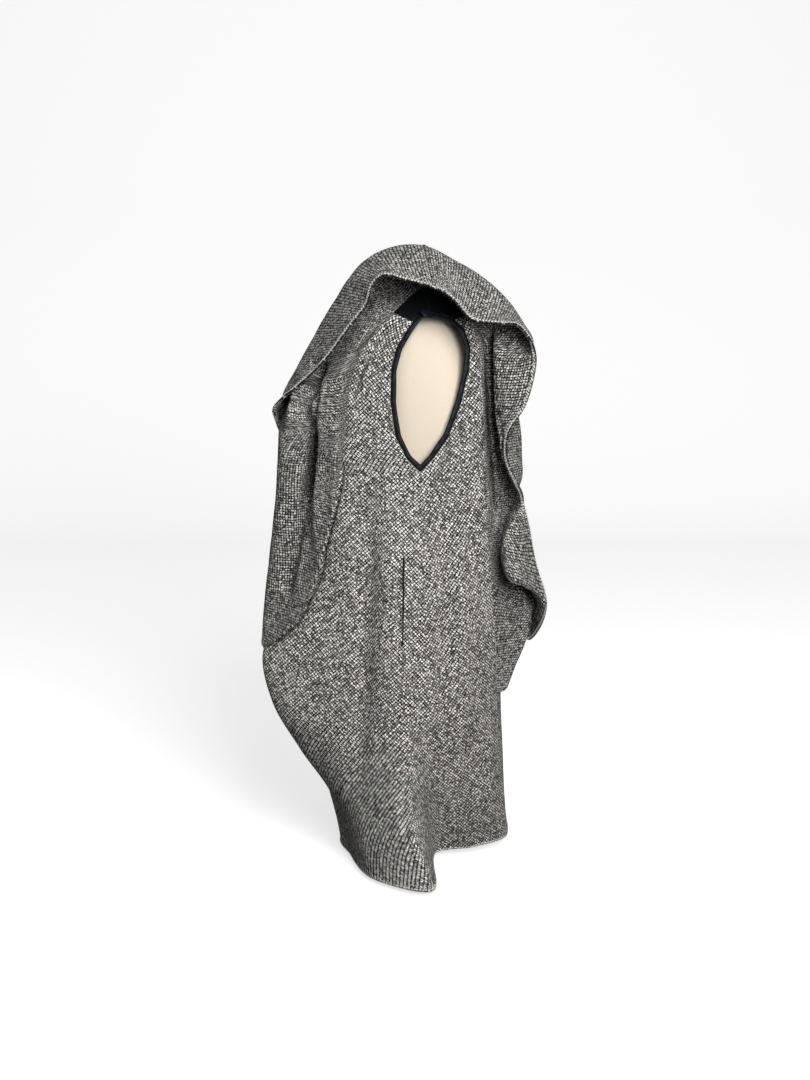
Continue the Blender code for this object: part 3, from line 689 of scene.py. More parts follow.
def tweed_finish(cloth, name="cape_tweed", painted_shade_share=1.0):
    """Tweed: rows of pale yarn squares on a dark ground, which wander a little.

    A square is the lesser of a wave across the row and one along it. Its paleness is the
    product of its own tone, its warp's and its weft's, and of specks, slubs and clouds.
    """
    finish = Finish(name)
    place = finish.node("ShaderNodeUVMap", {"uv_map": "cloth"}, {})
    wander = finish.vector("SUBTRACT", finish.noise(place, 210.0, output=1), (0.5, 0.5, 0.5))
    rows = finish.scaled(place, 1.0 / cloth.weave_repeat)
    counts = finish.vector("ADD", rows, finish.scaled(wander, WEAVE_WANDER))
    within, cell = finish.vector("FRACTION", counts), finish.vector("FLOOR", counts)
    waves = [0.5 - 0.5 * (part * (2 * np.pi)).cosine() for part in finish.parts(within)]
    square = waves[0].least(waves[1]).step(0.10, 0.48)
    column, row = finish.parts(cell)
    tone = finish.chance("2D", Vector=cell).between(0.24, 1.24)
    warp = finish.chance("1D", W=column).between(0.84, 1.16)
    weft = finish.chance("1D", W=row + 0.5).between(0.92, 1.08)
    speck = finish.noise(place, 165.0, 4.0).step(0.36, 0.64).between(0.50, 1.44)
    slub = finish.noise(place, 75.0, 3.0).step(0.30, 0.70).between(0.80, 1.14)
    cloud = finish.noise(place, 16.0).step(0.25, 0.75).between(0.92, 1.06)
    pale = square * tone * warp * weft * speck * slub * cloud
    fibre = finish.noise(place, 1900.0)
    return finish.set(
        # Painted shade: a share under 1 darkens the pale yarn, for the wings' darker copy of this tweed.
        Base_Color=finish.mix(pale, rgba(cloth.tweed_ground), rgba(cloth.tweed_fleck, painted_shade_share)),
        Normal=finish.bump(0.7, 0.0009, square * 0.8 + fibre * 0.5),
        Roughness=0.92, Sheen_Weight=0.03, Sheen_Roughness=0.6, Specular_IOR_Level=0.2)


def wing_tweed_painted_darker_finish(cloth):
    """The same tweed with its pale yarn darker: painted shade for the wings."""
    return tweed_finish(cloth, "cape_tweed_against_nap", cloth.wing_painted_shade)


def satin_finish(cloth):
    """Black satin: a smooth dark cloth with fine threads and a soft bluish shine."""
    finish = Finish("cape_black_satin")
    place = finish.place()
    thread, crumple = finish.noise(place, 1500.0), finish.noise(place, 90.0)
    return finish.set(
        Base_Color=finish.mix(crumple, rgba(cloth.satin), rgba(cloth.satin, 2.2)),
        Normal=finish.bump(0.35, 0.0007, crumple + thread * 0.2),
        Roughness=thread.between(0.40, 0.60), Sheen_Weight=0.02, Specular_IOR_Level=0.13)


def linen_finish(cloth):
    """Cream linen: a fine plain weave with uneven threads."""
    finish = Finish("cape_cream_linen")
    place = finish.place()
    warp = finish.noise(finish.vector("MULTIPLY", place, (900.0, 900.0, 130.0)), 1.0)
    weft = finish.noise(finish.vector("MULTIPLY", place, (110.0, 110.0, 900.0)), 1.0)
    share = warp * 0.4 + weft * 0.4 + finish.noise(place, 9.0) * 0.3
    return finish.set(
        Base_Color=finish.mix(share.step(0.3, 0.8), rgba(cloth.linen, 0.93), rgba(cloth.linen)),
        Normal=finish.bump(0.25, 0.0004, warp + weft), Roughness=0.88, Sheen_Weight=0.1)


def metal_finish(cloth):
    """Satin black paint on steel, a little uneven."""
    finish = Finish("cape_dark_metal")
    place = finish.place()
    wear = finish.noise(place, 35.0, 3.0)
    return finish.set(
        Base_Color=finish.mix(wear.step(0.35, 0.75), rgba(cloth.metal), rgba(cloth.metal, 1.7)),
        Normal=finish.bump(0.12, 0.0003, finish.noise(place, 420.0)), Roughness=wear.between(0.38, 0.54))


def thread_finish(cloth):
    """Sewing thread: a plain colour with a twist of lighter fibres."""
    finish = Finish("cape_thread")
    fibre = finish.noise(finish.place(), 2400.0).step(0.3, 0.7)
    return finish.set(
        Base_Color=finish.mix(fibre, rgba(cloth.thread, 0.6), rgba(cloth.thread)),
        Roughness=0.85, Sheen_Weight=0.2)


FINISHES = {
    "tweed": tweed_finish, "tweed_against_nap": wing_tweed_painted_darker_finish, "black_satin": satin_finish,
    "cream_linen": linen_finish, "dark_metal": metal_finish, "thread": thread_finish,
}


def finish_for(name):
    """The finish of a name, made once."""
    made = bpy.data.materials.get(f"cape_{name}")
    return made if made is not None else FINISHES[name](bpy.context.scene.cape_cloth)


def settle(piece, slot, *nodes, finish=None):
    """Gives a piece its finish and its body, and hides the solids that it stands for."""
    piece.data.materials.append(finish_for(finish or slot))
    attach(piece, "root")
    if nodes:
        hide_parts(*nodes)
    return piece


def panel_heights(top):
    """Section numbers up a panel to the top, with closer rows inside the turned hem."""
    length = BODY_ROWS[top, 0, 2] - BODY_ROWS[0, 0, 2]
    hem = EDGE_STEPS / length * top
    return np.concatenate([hem, np.linspace(hem[-1], top, ROWS_UP)[1:]])


def station_length(u, v, reach=0.02):
    """How long one station's step is round the body, at station u of each section."""
    return np.linalg.norm(body(u[None] + reach, v) - body(u[None] - reach, v), axis=2)[0] / (2 * reach)


def panel_stations(first, last, steps, v, back_by=0.0):
    """Stations across a panel between two edges, closer beside them. The first edge may stand back."""
    first = first + back_by / station_length(first, v)
    width = np.median(station_length((first + last) / 2, v) * (last - first))
    share = graded(width, steps)[:, None]
    return first + share * (last - first)


def hem_share(away, sizes):
    """1 in the turned edge and 0 past it, with a soft step of 2 mm."""
    return 1 - smooth_step(sizes.hem_depth - 0.001, sizes.hem_depth + 0.001, away)


def panel_wall(name, face, grain, reference, sizes):
    """The wall of a body panel, with a turned hem and rounded edges."""
    over, up = arc(face, 0), arc(face, 1)
    to_side, to_end = to_ends(over, 0), to_ends(up, 1)
    half = sizes.tweed_wall / 2
    hem = hem_share(up, sizes)
    thick = half + sizes.hem_swell * hem
    sewn = half - sizes.seam_round + rounded(to_side, np.full(over.shape, sizes.seam_round))
    outside = np.minimum(rounded(to_end, thick), sewn + sizes.hem_swell * hem) - half
    inside = np.minimum(rounded(to_end, half), sewn) + half
    flat = np.stack([over - over[reference], np.broadcast_to(up[reference], over.shape)], axis=2)
    return wall_piece(name, face, inside, outside, turned(flat, grain))


def length(name, description, default):
    """A size as a property, in metres."""
    return FloatProperty(name=name, description=description, default=default, unit="LENGTH")


def colour(name, description, default):
    """A colour as a property."""
    return FloatVectorProperty(
        name=name, description=description, default=default, size=3, subtype="COLOR", min=0, max=1)


class CapeSizes(bpy.types.PropertyGroup):
    """Sizes of the cloth and of its sewing."""

    tweed_wall: length("Tweed thickness", "Thickness of the tweed", 0.0024)
    satin_wall: length("Satin thickness", "Thickness of the satin", 0.0012)
    seam_round: length("Seam rounding", "Rounding of a panel's edge at a seam", 0.0006)
    front_gap: length("Front gap", "Gap between the two front edges", 0.0016)
    wing_standoff: length("Wing standoff", "How far a wing's root stands off the body's face", -0.0006)
    hem_depth: length("Hem depth", "Depth of the turned edge of hem and wings", 0.0075)
    hem_swell: length("Hem swell", "How much thicker the turned edge is on each face", 0.0012)
    binding_width: length("Binding width", "Width of the armhole's binding", 0.0100)
    binding_thick: length("Binding thickness", "Thickness of the armhole's binding", 0.0044)
    binding_gap: length("Binding gap", "Gap between the binding and the panel", 0.0008)
    pocket_lip: length("Pocket lip", "Width of the slit pocket's lip", 0.0090)
    lip_lift: length("Lip lift", "How far the lip lies off the panel", 0.0003)
    pocket_bottom: length("Pocket bottom", "Height of the slit's lower end", 0.462)
    pocket_top: length("Pocket top", "Height of the slit's upper end", 0.622)
    pocket_y: length("Pocket place", "Place of the slit from front to back", -0.045)
    slit_width: length("Slit width", "How far the pocket's slit gapes at its top", 0.0042)
    tack_width: length("Tack width", "Length of the bars that tack the slit's lower end", 0.0084)
    tack_thick: length("Tack thickness", "Thickness of the tack's bars", 0.0030)
    tack_lift: length("Tack lift", "How far the tack's bars lie off the panel", 0.0016)
    stitch_length: length("Stitch length", "Distance between two stitches", 0.0056)
    stitch_width: length("Stitch width", "Thickness of a stitch", 0.0022)


class CapeCloth(bpy.types.PropertyGroup):
    """Colours of the cloth and the scale of its weave."""

    weave_repeat: length("Weave repeat", "Distance between two rows of yarn", 0.0051)
    tweed_ground: colour("Tweed ground", "Dark yarn of the tweed", (0.010, 0.010, 0.010))
    tweed_fleck: colour("Tweed fleck", "Pale yarn of the tweed", (0.95, 0.93, 0.89))
    # Painted shade: the share by which the wings' tweed is darker in colour than the body's.
    wing_painted_shade: FloatProperty(
        name="Nap shade", description="Brightness of the tweed seen against its nap", default=0.76,
        min=0, max=1)
    satin: colour("Satin", "Black satin of yokes and bindings", (0.0035, 0.0045, 0.006))
    linen: colour("Linen", "Cream linen of the form", (0.74, 0.645, 0.52))
    metal: colour("Paint", "Black paint of the stand", (0.022, 0.022, 0.024))
    thread: colour("Thread", "Pale sewing thread", (0.92, 0.90, 0.85))


class CapeStage(bpy.types.PropertyGroup):
    """Studio round the cape."""

    key_power: FloatProperty(
        name="Key light", description="Power of the tall soft light at the camera's right",
        default=98.0, unit="POWER")
    sky: FloatProperty(
        name="Room light", description="Strength of the even light of the room", default=0.22)
    glow: FloatProperty(
        name="Backdrop light", description="Brightness that lamps behind the backdrop add to it",
        default=0.67)
    floor: colour("Floor", "Pale floor and backdrop", (0.93, 0.93, 0.93))


def body_faces(sizes):
    """The outer faces of the left panels and of the back: name, grid, grain angle and reference column."""
    v_neck, v_side = panel_heights(TOP_ROW), panel_heights(YOKE_ROW)
    centre, front_seam, back_seam, far_seam = (
        at_station(station, v_neck) for station in (0, FRONT_SEAM, BACK_SEAM, ROUND - BACK_SEAM))
    rise = len(v_side)
    edges = {
        "front": (centre, front_seam, v_neck, sizes.front_gap / 2, 0.0, 0),
        "side_front": (front_seam[:rise], armhole_edge(v_side, FRONT_SEAM, 1), v_side, 0.0, BIAS, -1),
        "side_back": (armhole_edge(v_side, BACK_SEAM, 2), back_seam[:rise], v_side, 0.0, -BIAS, -1),
        "back": (back_seam, far_seam, v_neck, 0.0, 0.0, None),
    }
    faces = {}
    for kind, (first, last, v, back_by, grain, reference) in edges.items():
        face = body(panel_stations(first, last, PANEL_COLUMNS[kind], v, back_by), v)
        faces[kind] = (face, grain, len(face) // 2 if reference is None else reference)
    return faces


def with_relief(face, axis, creases, tucks=(), shift=(0.0, 0.0), share=1.0):
    """A face with its creases and slow ripple raised along its normals, fading out at its seams, and
    with its tucks, which fade out only just beside them."""
    to_side = to_ends(arc(face, 0), 0)
    flat = face[..., [axis, 2]]
    height = crease_relief(flat, creases, shift, share) + cloth_ripple(face, *PANEL_RIPPLE)
    height = height * smooth_step(0, SEAM_FADE, to_side)
    height = height + crease_relief(flat, tucks, shift, share) * smooth_step(0, TUCK_FADE, to_side)
    return face + face_normals(face) * height[..., None]


def shaped_panels(sizes):
    """The creased outer faces of the body's panels: kind to left face, right face and grain."""
    creases = {"front": (0, FRONT_CREASES, ()), "side_front": (1, SIDE_CREASES, SIDE_TUCKS),
               "side_back": (1, SIDE_CREASES, ()), "back": (0, BACK_CREASES, ())}
    panels = {}
    for kind, (face, grain, reference) in body_faces(sizes).items():
        axis, table, tucks = creases[kind]
        left = with_relief(face, axis, table, tucks)
        right = mirrored(with_relief(face, axis, table, tucks, MIRROR_SHIFT, MIRROR_SHARE))
        panels[kind] = (left, right, grain, reference % len(face))
    return panels


class CAPE_OT_body(bpy.types.Operator):
    """Hangs the fronts, side fronts, side backs and the back"""

    bl_idname = "cape.body"
    bl_label = "Body panels"

    def execute(self, context):
        sizes = context.scene.cape_sizes
        for kind, (left, right, grain, reference) in shaped_panels(sizes).items():
            if kind == "back":
                twins = (("cape_back", left, grain, reference),)
            else:
                twins = ((f"cape_{kind}_left", left, grain, reference),
                         (f"cape_{kind}_right", right, -grain, len(left) - 1 - reference))
            for name, face, angle, column in twins:
                piece = panel_wall(name, face, angle, column, sizes)
                settle(piece, "tweed", name.removeprefix("cape_"))
        return {"FINISHED"}


def wing_across():
    """Reads across a wing from root to rim, closer beside both."""
    return graded(WING_WIDTH, WING_COLUMNS) * (WING_CONTROLS - 1)


def wing_faces(sizes):
    """The middle faces of the left wing's halves: name to grid, front half up, back half down."""
    off = sizes.wing_standoff
    roots = wing_roots(off)
    front = even_rows(roots[0], TOP_ROW, FRONT_SEAM, off)
    back = even_rows(TOP_ROW, roots[-1], BACK_SEAM, off)
    return {
        "wing_front": wing(wing_across(), front, FRONT_SEAM, off),
        "wing_back": wing(wing_across(), back, BACK_SEAM, off),
    }


def even_rows(first, last, station, standoff):
    """Section numbers along a wing, spaced evenly by the longest of its lines between two sections."""
    v = np.linspace(first, last, ROW_READS)
    lines = wing(np.arange(1.0, WING_CONTROLS), v, station, standoff)
    step = np.linalg.norm(np.diff(lines, axis=1), axis=2).max(axis=0)
    run = np.concatenate([[0], np.cumsum(step)])
    return np.interp(np.linspace(0, run[-1], ROWS_WING), run, v)


def wing_relief(face, kind, shift=(0.0, 0.0), share=1.0):
    """A wing's face with its creases, clear of its root and of its rim, and with its shoulder seam
    drawn in. Its hollows go straight in from the side, from the root nearly to the rim low down,
    and as far as the crest where the front is turned up."""
    creases = WING_FRONT_CREASES if kind == "wing_front" else WING_BACK_CREASES
    along = arc(face, 1)
    to_seam = along[:, -1:] - along if kind == "wing_front" else along
    over = arc(face, 0)
    flat = face[..., [1, 2]]
    turned_up = smooth_step(*TURN_UP, face[..., 2])
    reach = HOLLOW_REACH_LOW + (HOLLOW_REACH_HIGH - HOLLOW_REACH_LOW) * turned_up
    inner = 1 - smooth_step(*HOLLOW_EDGE, wing_across()[:, None] - reach)
    deep = crease_relief(flat, WING_HOLLOWS, shift, share) * inner * smooth_step(0, HOLLOW_FADE, over)
    height = crease_relief(flat, creases, shift, share) * smooth_step(0, RIM_FADE, over[-1:] - over)
    height = height + cloth_ripple(face, *WING_RIPPLE)
    height = height - SHOULDER_GROOVE * np.exp(-((to_seam / SHOULDER_GROOVE_WIDTH) ** 2))
    normal = face_normals(face)
    outward = normal * np.where(normal[..., :1] < 0, -1, 1)
    raised = outward * (height * smooth_step(0, ROOT_FADE, over))[..., None]
    return face + raised + deep[..., None] * np.array([1, 0, 0])


class CAPE_OT_wings(bpy.types.Operator):
    """Turns the wings up over the shoulders"""

    bl_idname = "cape.wings"
    bl_label = "Wings"

    def execute(self, context):
        sizes = context.scene.cape_sizes
        half = sizes.tweed_wall / 2
        for kind, face in wing_faces(sizes).items():
            left = wing_relief(face, kind)
            right = mirrored(wing_relief(face, kind, MIRROR_SHIFT, MIRROR_SHARE))
            for side, shaped in (("left", left), ("right", right)):
                over, along = arc(shaped, 0), arc(shaped, 1)
                to_rim = over[-1:] - over if side == "left" else over
                thick = half + sizes.hem_swell * hem_share(to_rim, sizes)
                thick = rounded(to_border(over, along), thick)
                run = along[along.shape[0] // 2]
                flat = np.stack([to_rim, np.broadcast_to(run, to_rim.shape)], axis=2)
                piece = wall_piece(f"cape_{kind}_{side}", shaped, thick, thick, flat)
                # The wings take a darker copy of the tweed: painted shade.
                settle(piece, "tweed", f"{kind}_{side}", finish="tweed_against_nap")
        return {"FINISHED"}


class CAPE_OT_yokes(bpy.types.Operator):
    """Lays the satin yokes over the shoulders"""

    bl_idname = "cape.yokes"
    bl_label = "Shoulder yokes"

    def execute(self, context):
        sizes = context.scene.cape_sizes
        v = np.linspace(YOKE_ROW, TOP_ROW, YOKE_ROWS)
        front_edges = at_station(FRONT_SEAM, v), armhole_edge(v, FRONT_SEAM, 1)
        back_edges = armhole_edge(v, BACK_SEAM, 2), at_station(BACK_SEAM, v)
        front = body(panel_stations(*front_edges, YOKE_COLUMNS, v), v)
        back = body(panel_stations(*back_edges, YOKE_COLUMNS, v)[::-1], v)
        ridge = (front[:, -1:] + back[:, -1:]) / 2
        left = np.concatenate([front[:, :-1], ridge, back[:, -2::-1]], axis=1)
        for side, face in (("left", left), ("right", mirrored(left))):
            over, along = arc(face, 0), arc(face, 1)
            middle = sizes.satin_wall / 2
            half = rounded(to_border(over, along), middle)
            flat = np.stack([over, along], axis=2)
            piece = wall_piece(f"cape_yoke_{side}", face, half + middle, half - middle, flat)
            settle(piece, "black_satin", f"yoke_{side}")
        return {"FINISHED"}


def armhole_path(steps):
    """The armhole's edge as a closed loop: its places, and the body's normals there."""
    v = np.linspace(UNDERARM_ROW, TOP_ROW, LINE_READS)
    front, back = armhole_edge(v, FRONT_SEAM, 1), armhole_edge(v, BACK_SEAM, 2)
    u = np.concatenate([front, back[-2:0:-1]])
    rows = np.concatenate([v, v[-2:0:-1]])
    edge = body(u[None], rows)[0]
    out = body_normal(u[None], rows)[0]
    edge, out = (np.concatenate([line, line[:1]]) for line in (edge, out))
    run = run_along(edge)
    at = np.linspace(0, run[-1], steps, endpoint=False)
    return smoothed(read_line(edge, run, at), 3), smoothed(read_line(out, run, at), 9), at


def smoothed(loop, width):
    """A closed loop averaged over a few neighbours."""
    return np.mean([np.roll(loop, k, axis=0) for k in range(-width, width + 1)], axis=0)


class CAPE_OT_bindings(bpy.types.Operator):
    """Binds the armholes with satin"""

    bl_idname = "cape.bindings"
    bl_label = "Armhole bindings"

    def execute(self, context):
        sizes = context.scene.cape_sizes
        edge, out, run = armhole_path(BINDING_STEPS)
        along = np.roll(edge, -1, axis=0) - np.roll(edge, 1, axis=0)
        inward = unit(np.cross(along, out))
        middle = edge + inward * (sizes.binding_gap + sizes.binding_width / 2) - out * sizes.tweed_wall / 2
        turn = np.linspace(0, 2 * np.pi, BINDING_SIDES, endpoint=False)[:, None]
        # Crossed waves pucker the satin and a slow one widens it, in radians a metre
        pucker = np.sin(run * 310 + 2.2 * np.sin(run * 47)) + 0.7 * np.sin(run * 171 + 3 * turn + 1.3)
        swell = 1 + 0.18 * pucker
        width = sizes.binding_width / 2 * (1 + 0.05 * np.sin(run * 83 + 0.6))
        ring = (middle[None]
                + (np.cos(turn) * width)[..., None] * inward[None]
                + (np.sin(turn) * swell * sizes.binding_thick / 2)[..., None] * out[None])
        for side, rings in (("left", ring), ("right", mirrored(ring))):
            quads = quads_of(*rings.shape[:2], True, True)
            piece = mesh_piece(f"cape_armhole_binding_{side}", rings.reshape(-1, 3), quads)
            settle(piece, "black_satin", f"armhole_binding_{side}")
        return {"FINISHED"}


def crossing(values, wanted):
    """Where rising values (reads by columns) reach each wanted value in each column, as a read number."""
    after = np.clip((values[None] < wanted[:, None, None]).sum(axis=1), 1, len(values) - 1)
    low = np.take_along_axis(values, after - 1, axis=0)
    high = np.take_along_axis(values, after, axis=0)
    return after - 1 + (wanted[:, None] - low) / (high - low)


def pocket_grid(sizes, widths, lift):
    """A strip of the side front's own face beside the pocket's slit, lifted off it, with the panel's map."""
    v = np.linspace(*POCKET_SECTIONS, POCKET_UP_READS)
    seam = body(at_station(FRONT_SEAM, v)[None], v)[0, :, 2]
    v = np.interp(np.linspace(sizes.pocket_bottom, sizes.pocket_top, POCKET_ROWS), seam, v)
    share = np.linspace(FRONT_SEAM, SIDE_SEAM, POCKET_ROUND_READS)
    face = body(np.repeat(share[:, None], POCKET_ROWS, axis=1), v)
    reads = crossing(face[..., 1], sizes.pocket_y + widths)
    u = FRONT_SEAM + reads * (share[1] - share[0])
    points = body(u, v)
    relief = crease_relief(points[..., [1, 2]], SIDE_CREASES) + cloth_ripple(points, *PANEL_RIPPLE)
    below = np.linspace(0, v[-1], LINE_READS)
    height = arc(body(at_station(SIDE_SEAM, below)[None], below), 1)[0]
    over = arc(face, 0)
    whole = np.floor(reads).astype(int)
    across = np.take_along_axis(over, whole, axis=0)
    across = across + (reads - whole) * (np.take_along_axis(over, whole + 1, axis=0) - across) - over[-1:]
    flat = np.stack([across, np.broadcast_to(np.interp(v, below, height), across.shape)], axis=2)
    return points + body_normal(u, v) * (lift + relief)[..., None], flat


class CAPE_OT_pockets(bpy.types.Operator):
    """Sets the lips of the slit pockets, thin black satin strips beside them as painted shade in the slits,
    and the tacks at their lower ends
    """

    bl_idname = "cape.pockets"
    bl_label = "Slit pockets"

    def execute(self, context):
        sizes = context.scene.cape_sizes
        open_share = np.linspace(SLIT_SHARE, 1.0, POCKET_ROWS) ** SLIT_CURVE
        face, flat = pocket_grid(sizes, -sizes.pocket_lip * np.linspace(1, 0, LIP_COLUMNS), sizes.lip_lift)
        gape = sizes.slit_width * np.linspace(0, 1, SLIT_COLUMNS)
        slit, slit_map = pocket_grid(sizes, gape, 2 * sizes.lip_lift)
        slit = slit[:1] + (slit - slit[:1]) * open_share[:, None]
        bar = sizes.tack_width / 2 * np.linspace(-1, 1, TACK_COLUMNS)
        tack, _ = pocket_grid(sizes, bar, sizes.tack_lift)
        for side, hand in (("left", 1), ("right", -1)):
            lip, line = (face, slit) if hand > 0 else (mirrored(face), mirrored(slit))
            lip_map, line_map = (grid[::hand] * np.array([hand, 1]) for grid in (flat, slit_map))
            edge = rounded(to_border(arc(lip, 0), arc(lip, 1)), np.full(lip.shape[:2], sizes.tweed_wall / 2))
            piece = wall_piece(
                f"cape_pocket_lip_{side}", lip, 0 * edge, sizes.lip_lift + edge, turned(lip_map, hand * BIAS))
            settle(piece, "tweed", f"pocket_lip_{side}")
            # The slit is a thin black satin strip lying on the panel: painted shade in the pocket's opening.
            thin = np.full(line.shape[:2], sizes.lip_lift)
            settle(wall_piece(f"cape_pocket_slit_shade_{side}", line, 0 * thin, thin, line_map), "black_satin")
            bars = tack * np.array([hand, 1, 1])
            out = unit(np.cross(np.gradient(bars, axis=1), np.gradient(bars, axis=0)))
            out = out * np.where(out[..., :1] * bars[..., :1] < 0, -1, 1)
            paths = [(bars[:, row], out[:, row]) for row in range(TACK_ROWS)]
            corners, quads = stitch_rows(paths, sizes.tack_width, sizes.tack_thick)
            settle(mesh_piece(f"cape_pocket_tack_{side}", corners, quads), "black_satin")
        return {"FINISHED"}


def stitch_rows(paths, apart, width):
    """Stitches along paths (each a line of places and of normals): small spindles, a distance apart.

    A spindle is a ring carried along a half wave, leaning across its path, and closed at both
    ends by two quads.
    """
    turn = np.linspace(0, 2 * np.pi, STITCH_SIDES, endpoint=False)[:, None, None]
    reach = np.linspace(-1, 1, STITCH_RINGS)[:, None]
    girth = np.sqrt(np.maximum(1 - reach ** 2, 0.03)) * width / 2
    ends = np.array([[0, 1, 2, 3], [0, 3, 4, 5]]) * STITCH_RINGS
    grid = np.concatenate([
        quads_of(STITCH_SIDES, STITCH_RINGS, True, False), ends, ends[:, ::-1] + STITCH_RINGS - 1])
    corners = []
    for places, normals in paths:
        run = run_along(places)
        at = np.arange(apart / 2, run[-1], apart)
        middle, out = read_line(places, run, at), read_line(normals, run, at)
        ahead = unit(read_line(places, run, at + apart / 4) - middle)
        ahead = ahead * STITCH_LEAN[0] + unit(np.cross(out, ahead)) * STITCH_LEAN[1]
        middle, out, ahead = (line[:, None, None] for line in (middle, out, ahead))
        round_it = np.cos(turn) * np.cross(out, ahead) + np.sin(turn) * out
        corners.append((middle + reach * ahead * apart * STITCH_SHARE + girth * round_it).reshape(-1, 3))
    corners = np.concatenate(corners)
    first = np.arange(0, len(corners), STITCH_SIDES * STITCH_RINGS)
    return corners, (first[:, None, None] + grid).reshape(-1, 4)


def line_inside(face, away, from_last):
    """The line at a distance from a grid's first or last column, with the normals there."""
    grid = face[::-1] if from_last else face
    normal = face_normals(face)
    normal = normal[::-1] if from_last else normal
    over = arc(grid, 0)
    after = np.argmax(over >= away, axis=0)
    each = np.arange(grid.shape[1])
    part = ((away - over[after - 1, each]) / (over[after, each] - over[after - 1, each]))[:, None]
    return tuple(g[after - 1, each] * (1 - part) + g[after, each] * part for g in (grid, normal))


class CAPE_OT_stitching(bpy.types.Operator):
    """Sews the rims of the wings and the hem"""

    bl_idname = "cape.stitching"
    bl_label = "Stitching"

    def execute(self, context):
        sizes = context.scene.cape_sizes
        away = sizes.hem_depth * STITCH_INSIDE
        thick = sizes.tweed_wall / 2 + sizes.hem_swell
        rims, hems = [], []
        for kind, face in wing_faces(sizes).items():
            places, normals = line_inside(wing_relief(face, kind), away, True)
            rims += [(places + normals * thick, normals), (places - normals * thick, -normals)]
        for kind, (left, right, _, _) in shaped_panels(sizes).items():
            for face in (left,) if kind == "back" else (left, right):
                places, normals = line_inside(np.moveaxis(face, 1, 0), away, False)
                hems.append((places - normals * sizes.hem_swell, -normals))
        twins = [(places * FLIP, normals * FLIP) for places, normals in rims]
        for name, paths in (("rim_left", rims), ("rim_right", twins), ("hem", hems)):
            corners, quads = stitch_rows(paths, sizes.stitch_length, sizes.stitch_width)
            settle(mesh_piece(f"cape_stitches_{name}", corners, quads), "tweed", finish="thread")
        return {"FINISHED"}


class CAPE_OT_dress_form(bpy.types.Operator):
    """Covers the form in linen and paints its stand"""

    bl_idname = "cape.dress_form"
    bl_label = "Dress form"

    def execute(self, context):
        read = np.linspace(0, len(FORM) - 1, FORM_ROWS)[:, None]
        z, half_x, half_y, mid_y = through(np.array(FORM)[:, None, :], read)[:, 0].T
        turn = np.linspace(0, 2 * np.pi, FORM_SIDES, endpoint=False)[:, None]
        across, deep = (np.sign(w) * np.abs(w) ** FORM_SQUARENESS for w in (np.cos(turn), np.sin(turn)))
        rings = np.stack([half_x * across, mid_y + half_y * deep, z + 0 * turn], axis=2)
        columns, rows = rings.shape[:2]
        ends = np.array([[0, mid_y[0], z[0]], [0, mid_y[-1], z[-1]]])
        around = np.arange(columns) * rows
        after = np.roll(around, -1)
        tip = np.full(columns, columns * rows)
        low = np.stack([tip, after, around], axis=1)
        high = np.stack([tip + 1, around + rows - 1, after + rows - 1], axis=1)
        faces = [*quads_of(columns, rows, True, False).tolist(), *low.tolist(), *high.tolist()]
        piece = mesh_piece("form_linen_torso", np.concatenate([rings.reshape(-1, 3), ends]), faces)
        piece.data.set_sharp_from_angle(angle=np.radians(FORM_SHARP))
        settle(piece, "cream_linen", "form_torso")
        for node in ("form_neck_cap", "stand_pole", "stand_foot"):
            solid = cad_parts[node]
            solid.data.materials.clear()
            solid.data.materials.append(finish_for("dark_metal"))
        return {"FINISHED"}


# Studio: the floor's reach, the cove behind it and its height; the camera, the key light and the
# room's light, which leans to one side. Angles are in degrees.
FLOOR_NEAR, FLOOR_WIDE = 9.0, 9.0
COVE_START, COVE_BEND = -3.6, 1.6
BACKDROP_TOP = 7.0
CAMERA_PLACE, CAMERA_TURN = (2.75, -0.04, 1.075), (80.5, 0, 90)
CAMERA_LENS, CAMERA_SENSOR = 46.73, 36.0
KEY_PLACE, KEY_TURN = (2.4, 0.75, 2.0), (62.7, 0, 107.4)
KEY_SIZE = 1.2, 2.6
ROOM_LEAN, ROOM_RANGE = (0.5, -0.15, 0.6), (-0.4, 0.6)
ROOM_SHADE = 0.2


def place_in_studio(name, data, place, turn):
    """A light or camera at its place, turned by angles in degrees."""
    made = bpy.data.objects.new(name, data)
    made.location = place
    made.rotation_euler = np.radians(turn)
    bpy.context.scene.collection.objects.link(made)
    return made


def lay_floor(stage):
    """A pale sheet of paper that runs along the floor and curves up behind the form."""
    turn = np.linspace(0, np.pi / 2, 24)
    cove = np.column_stack([COVE_START - COVE_BEND * np.sin(turn), COVE_BEND - COVE_BEND * np.cos(turn)])
    top = [COVE_START - COVE_BEND, BACKDROP_TOP]
    profile = np.concatenate([[[FLOOR_NEAR, 0.0]], cove, [top]])[::-1]
    x, z = (np.repeat(line[:, None], 2, axis=1) for line in profile.T)
    y = np.broadcast_to([-FLOOR_WIDE, FLOOR_WIDE], x.shape)
    points = np.stack([x, y, z], axis=2)
    floor = mesh_piece("studio_floor", points.reshape(-1, 3), quads_of(len(profile), 2))
    paper = Finish("studio_paper")
    shade = paper.mix(paper.noise(paper.place(), 1.2, 1.0), rgba(stage.floor), rgba(stage.floor, 0.985))
    floor.data.materials.append(paper.set(
        Base_Color=shade, Roughness=0.9, Emission_Color=(1.0, 1.0, 1.0, 1.0), Emission_Strength=stage.glow))
    floor.visible_diffuse = False
    floor.visible_glossy = False


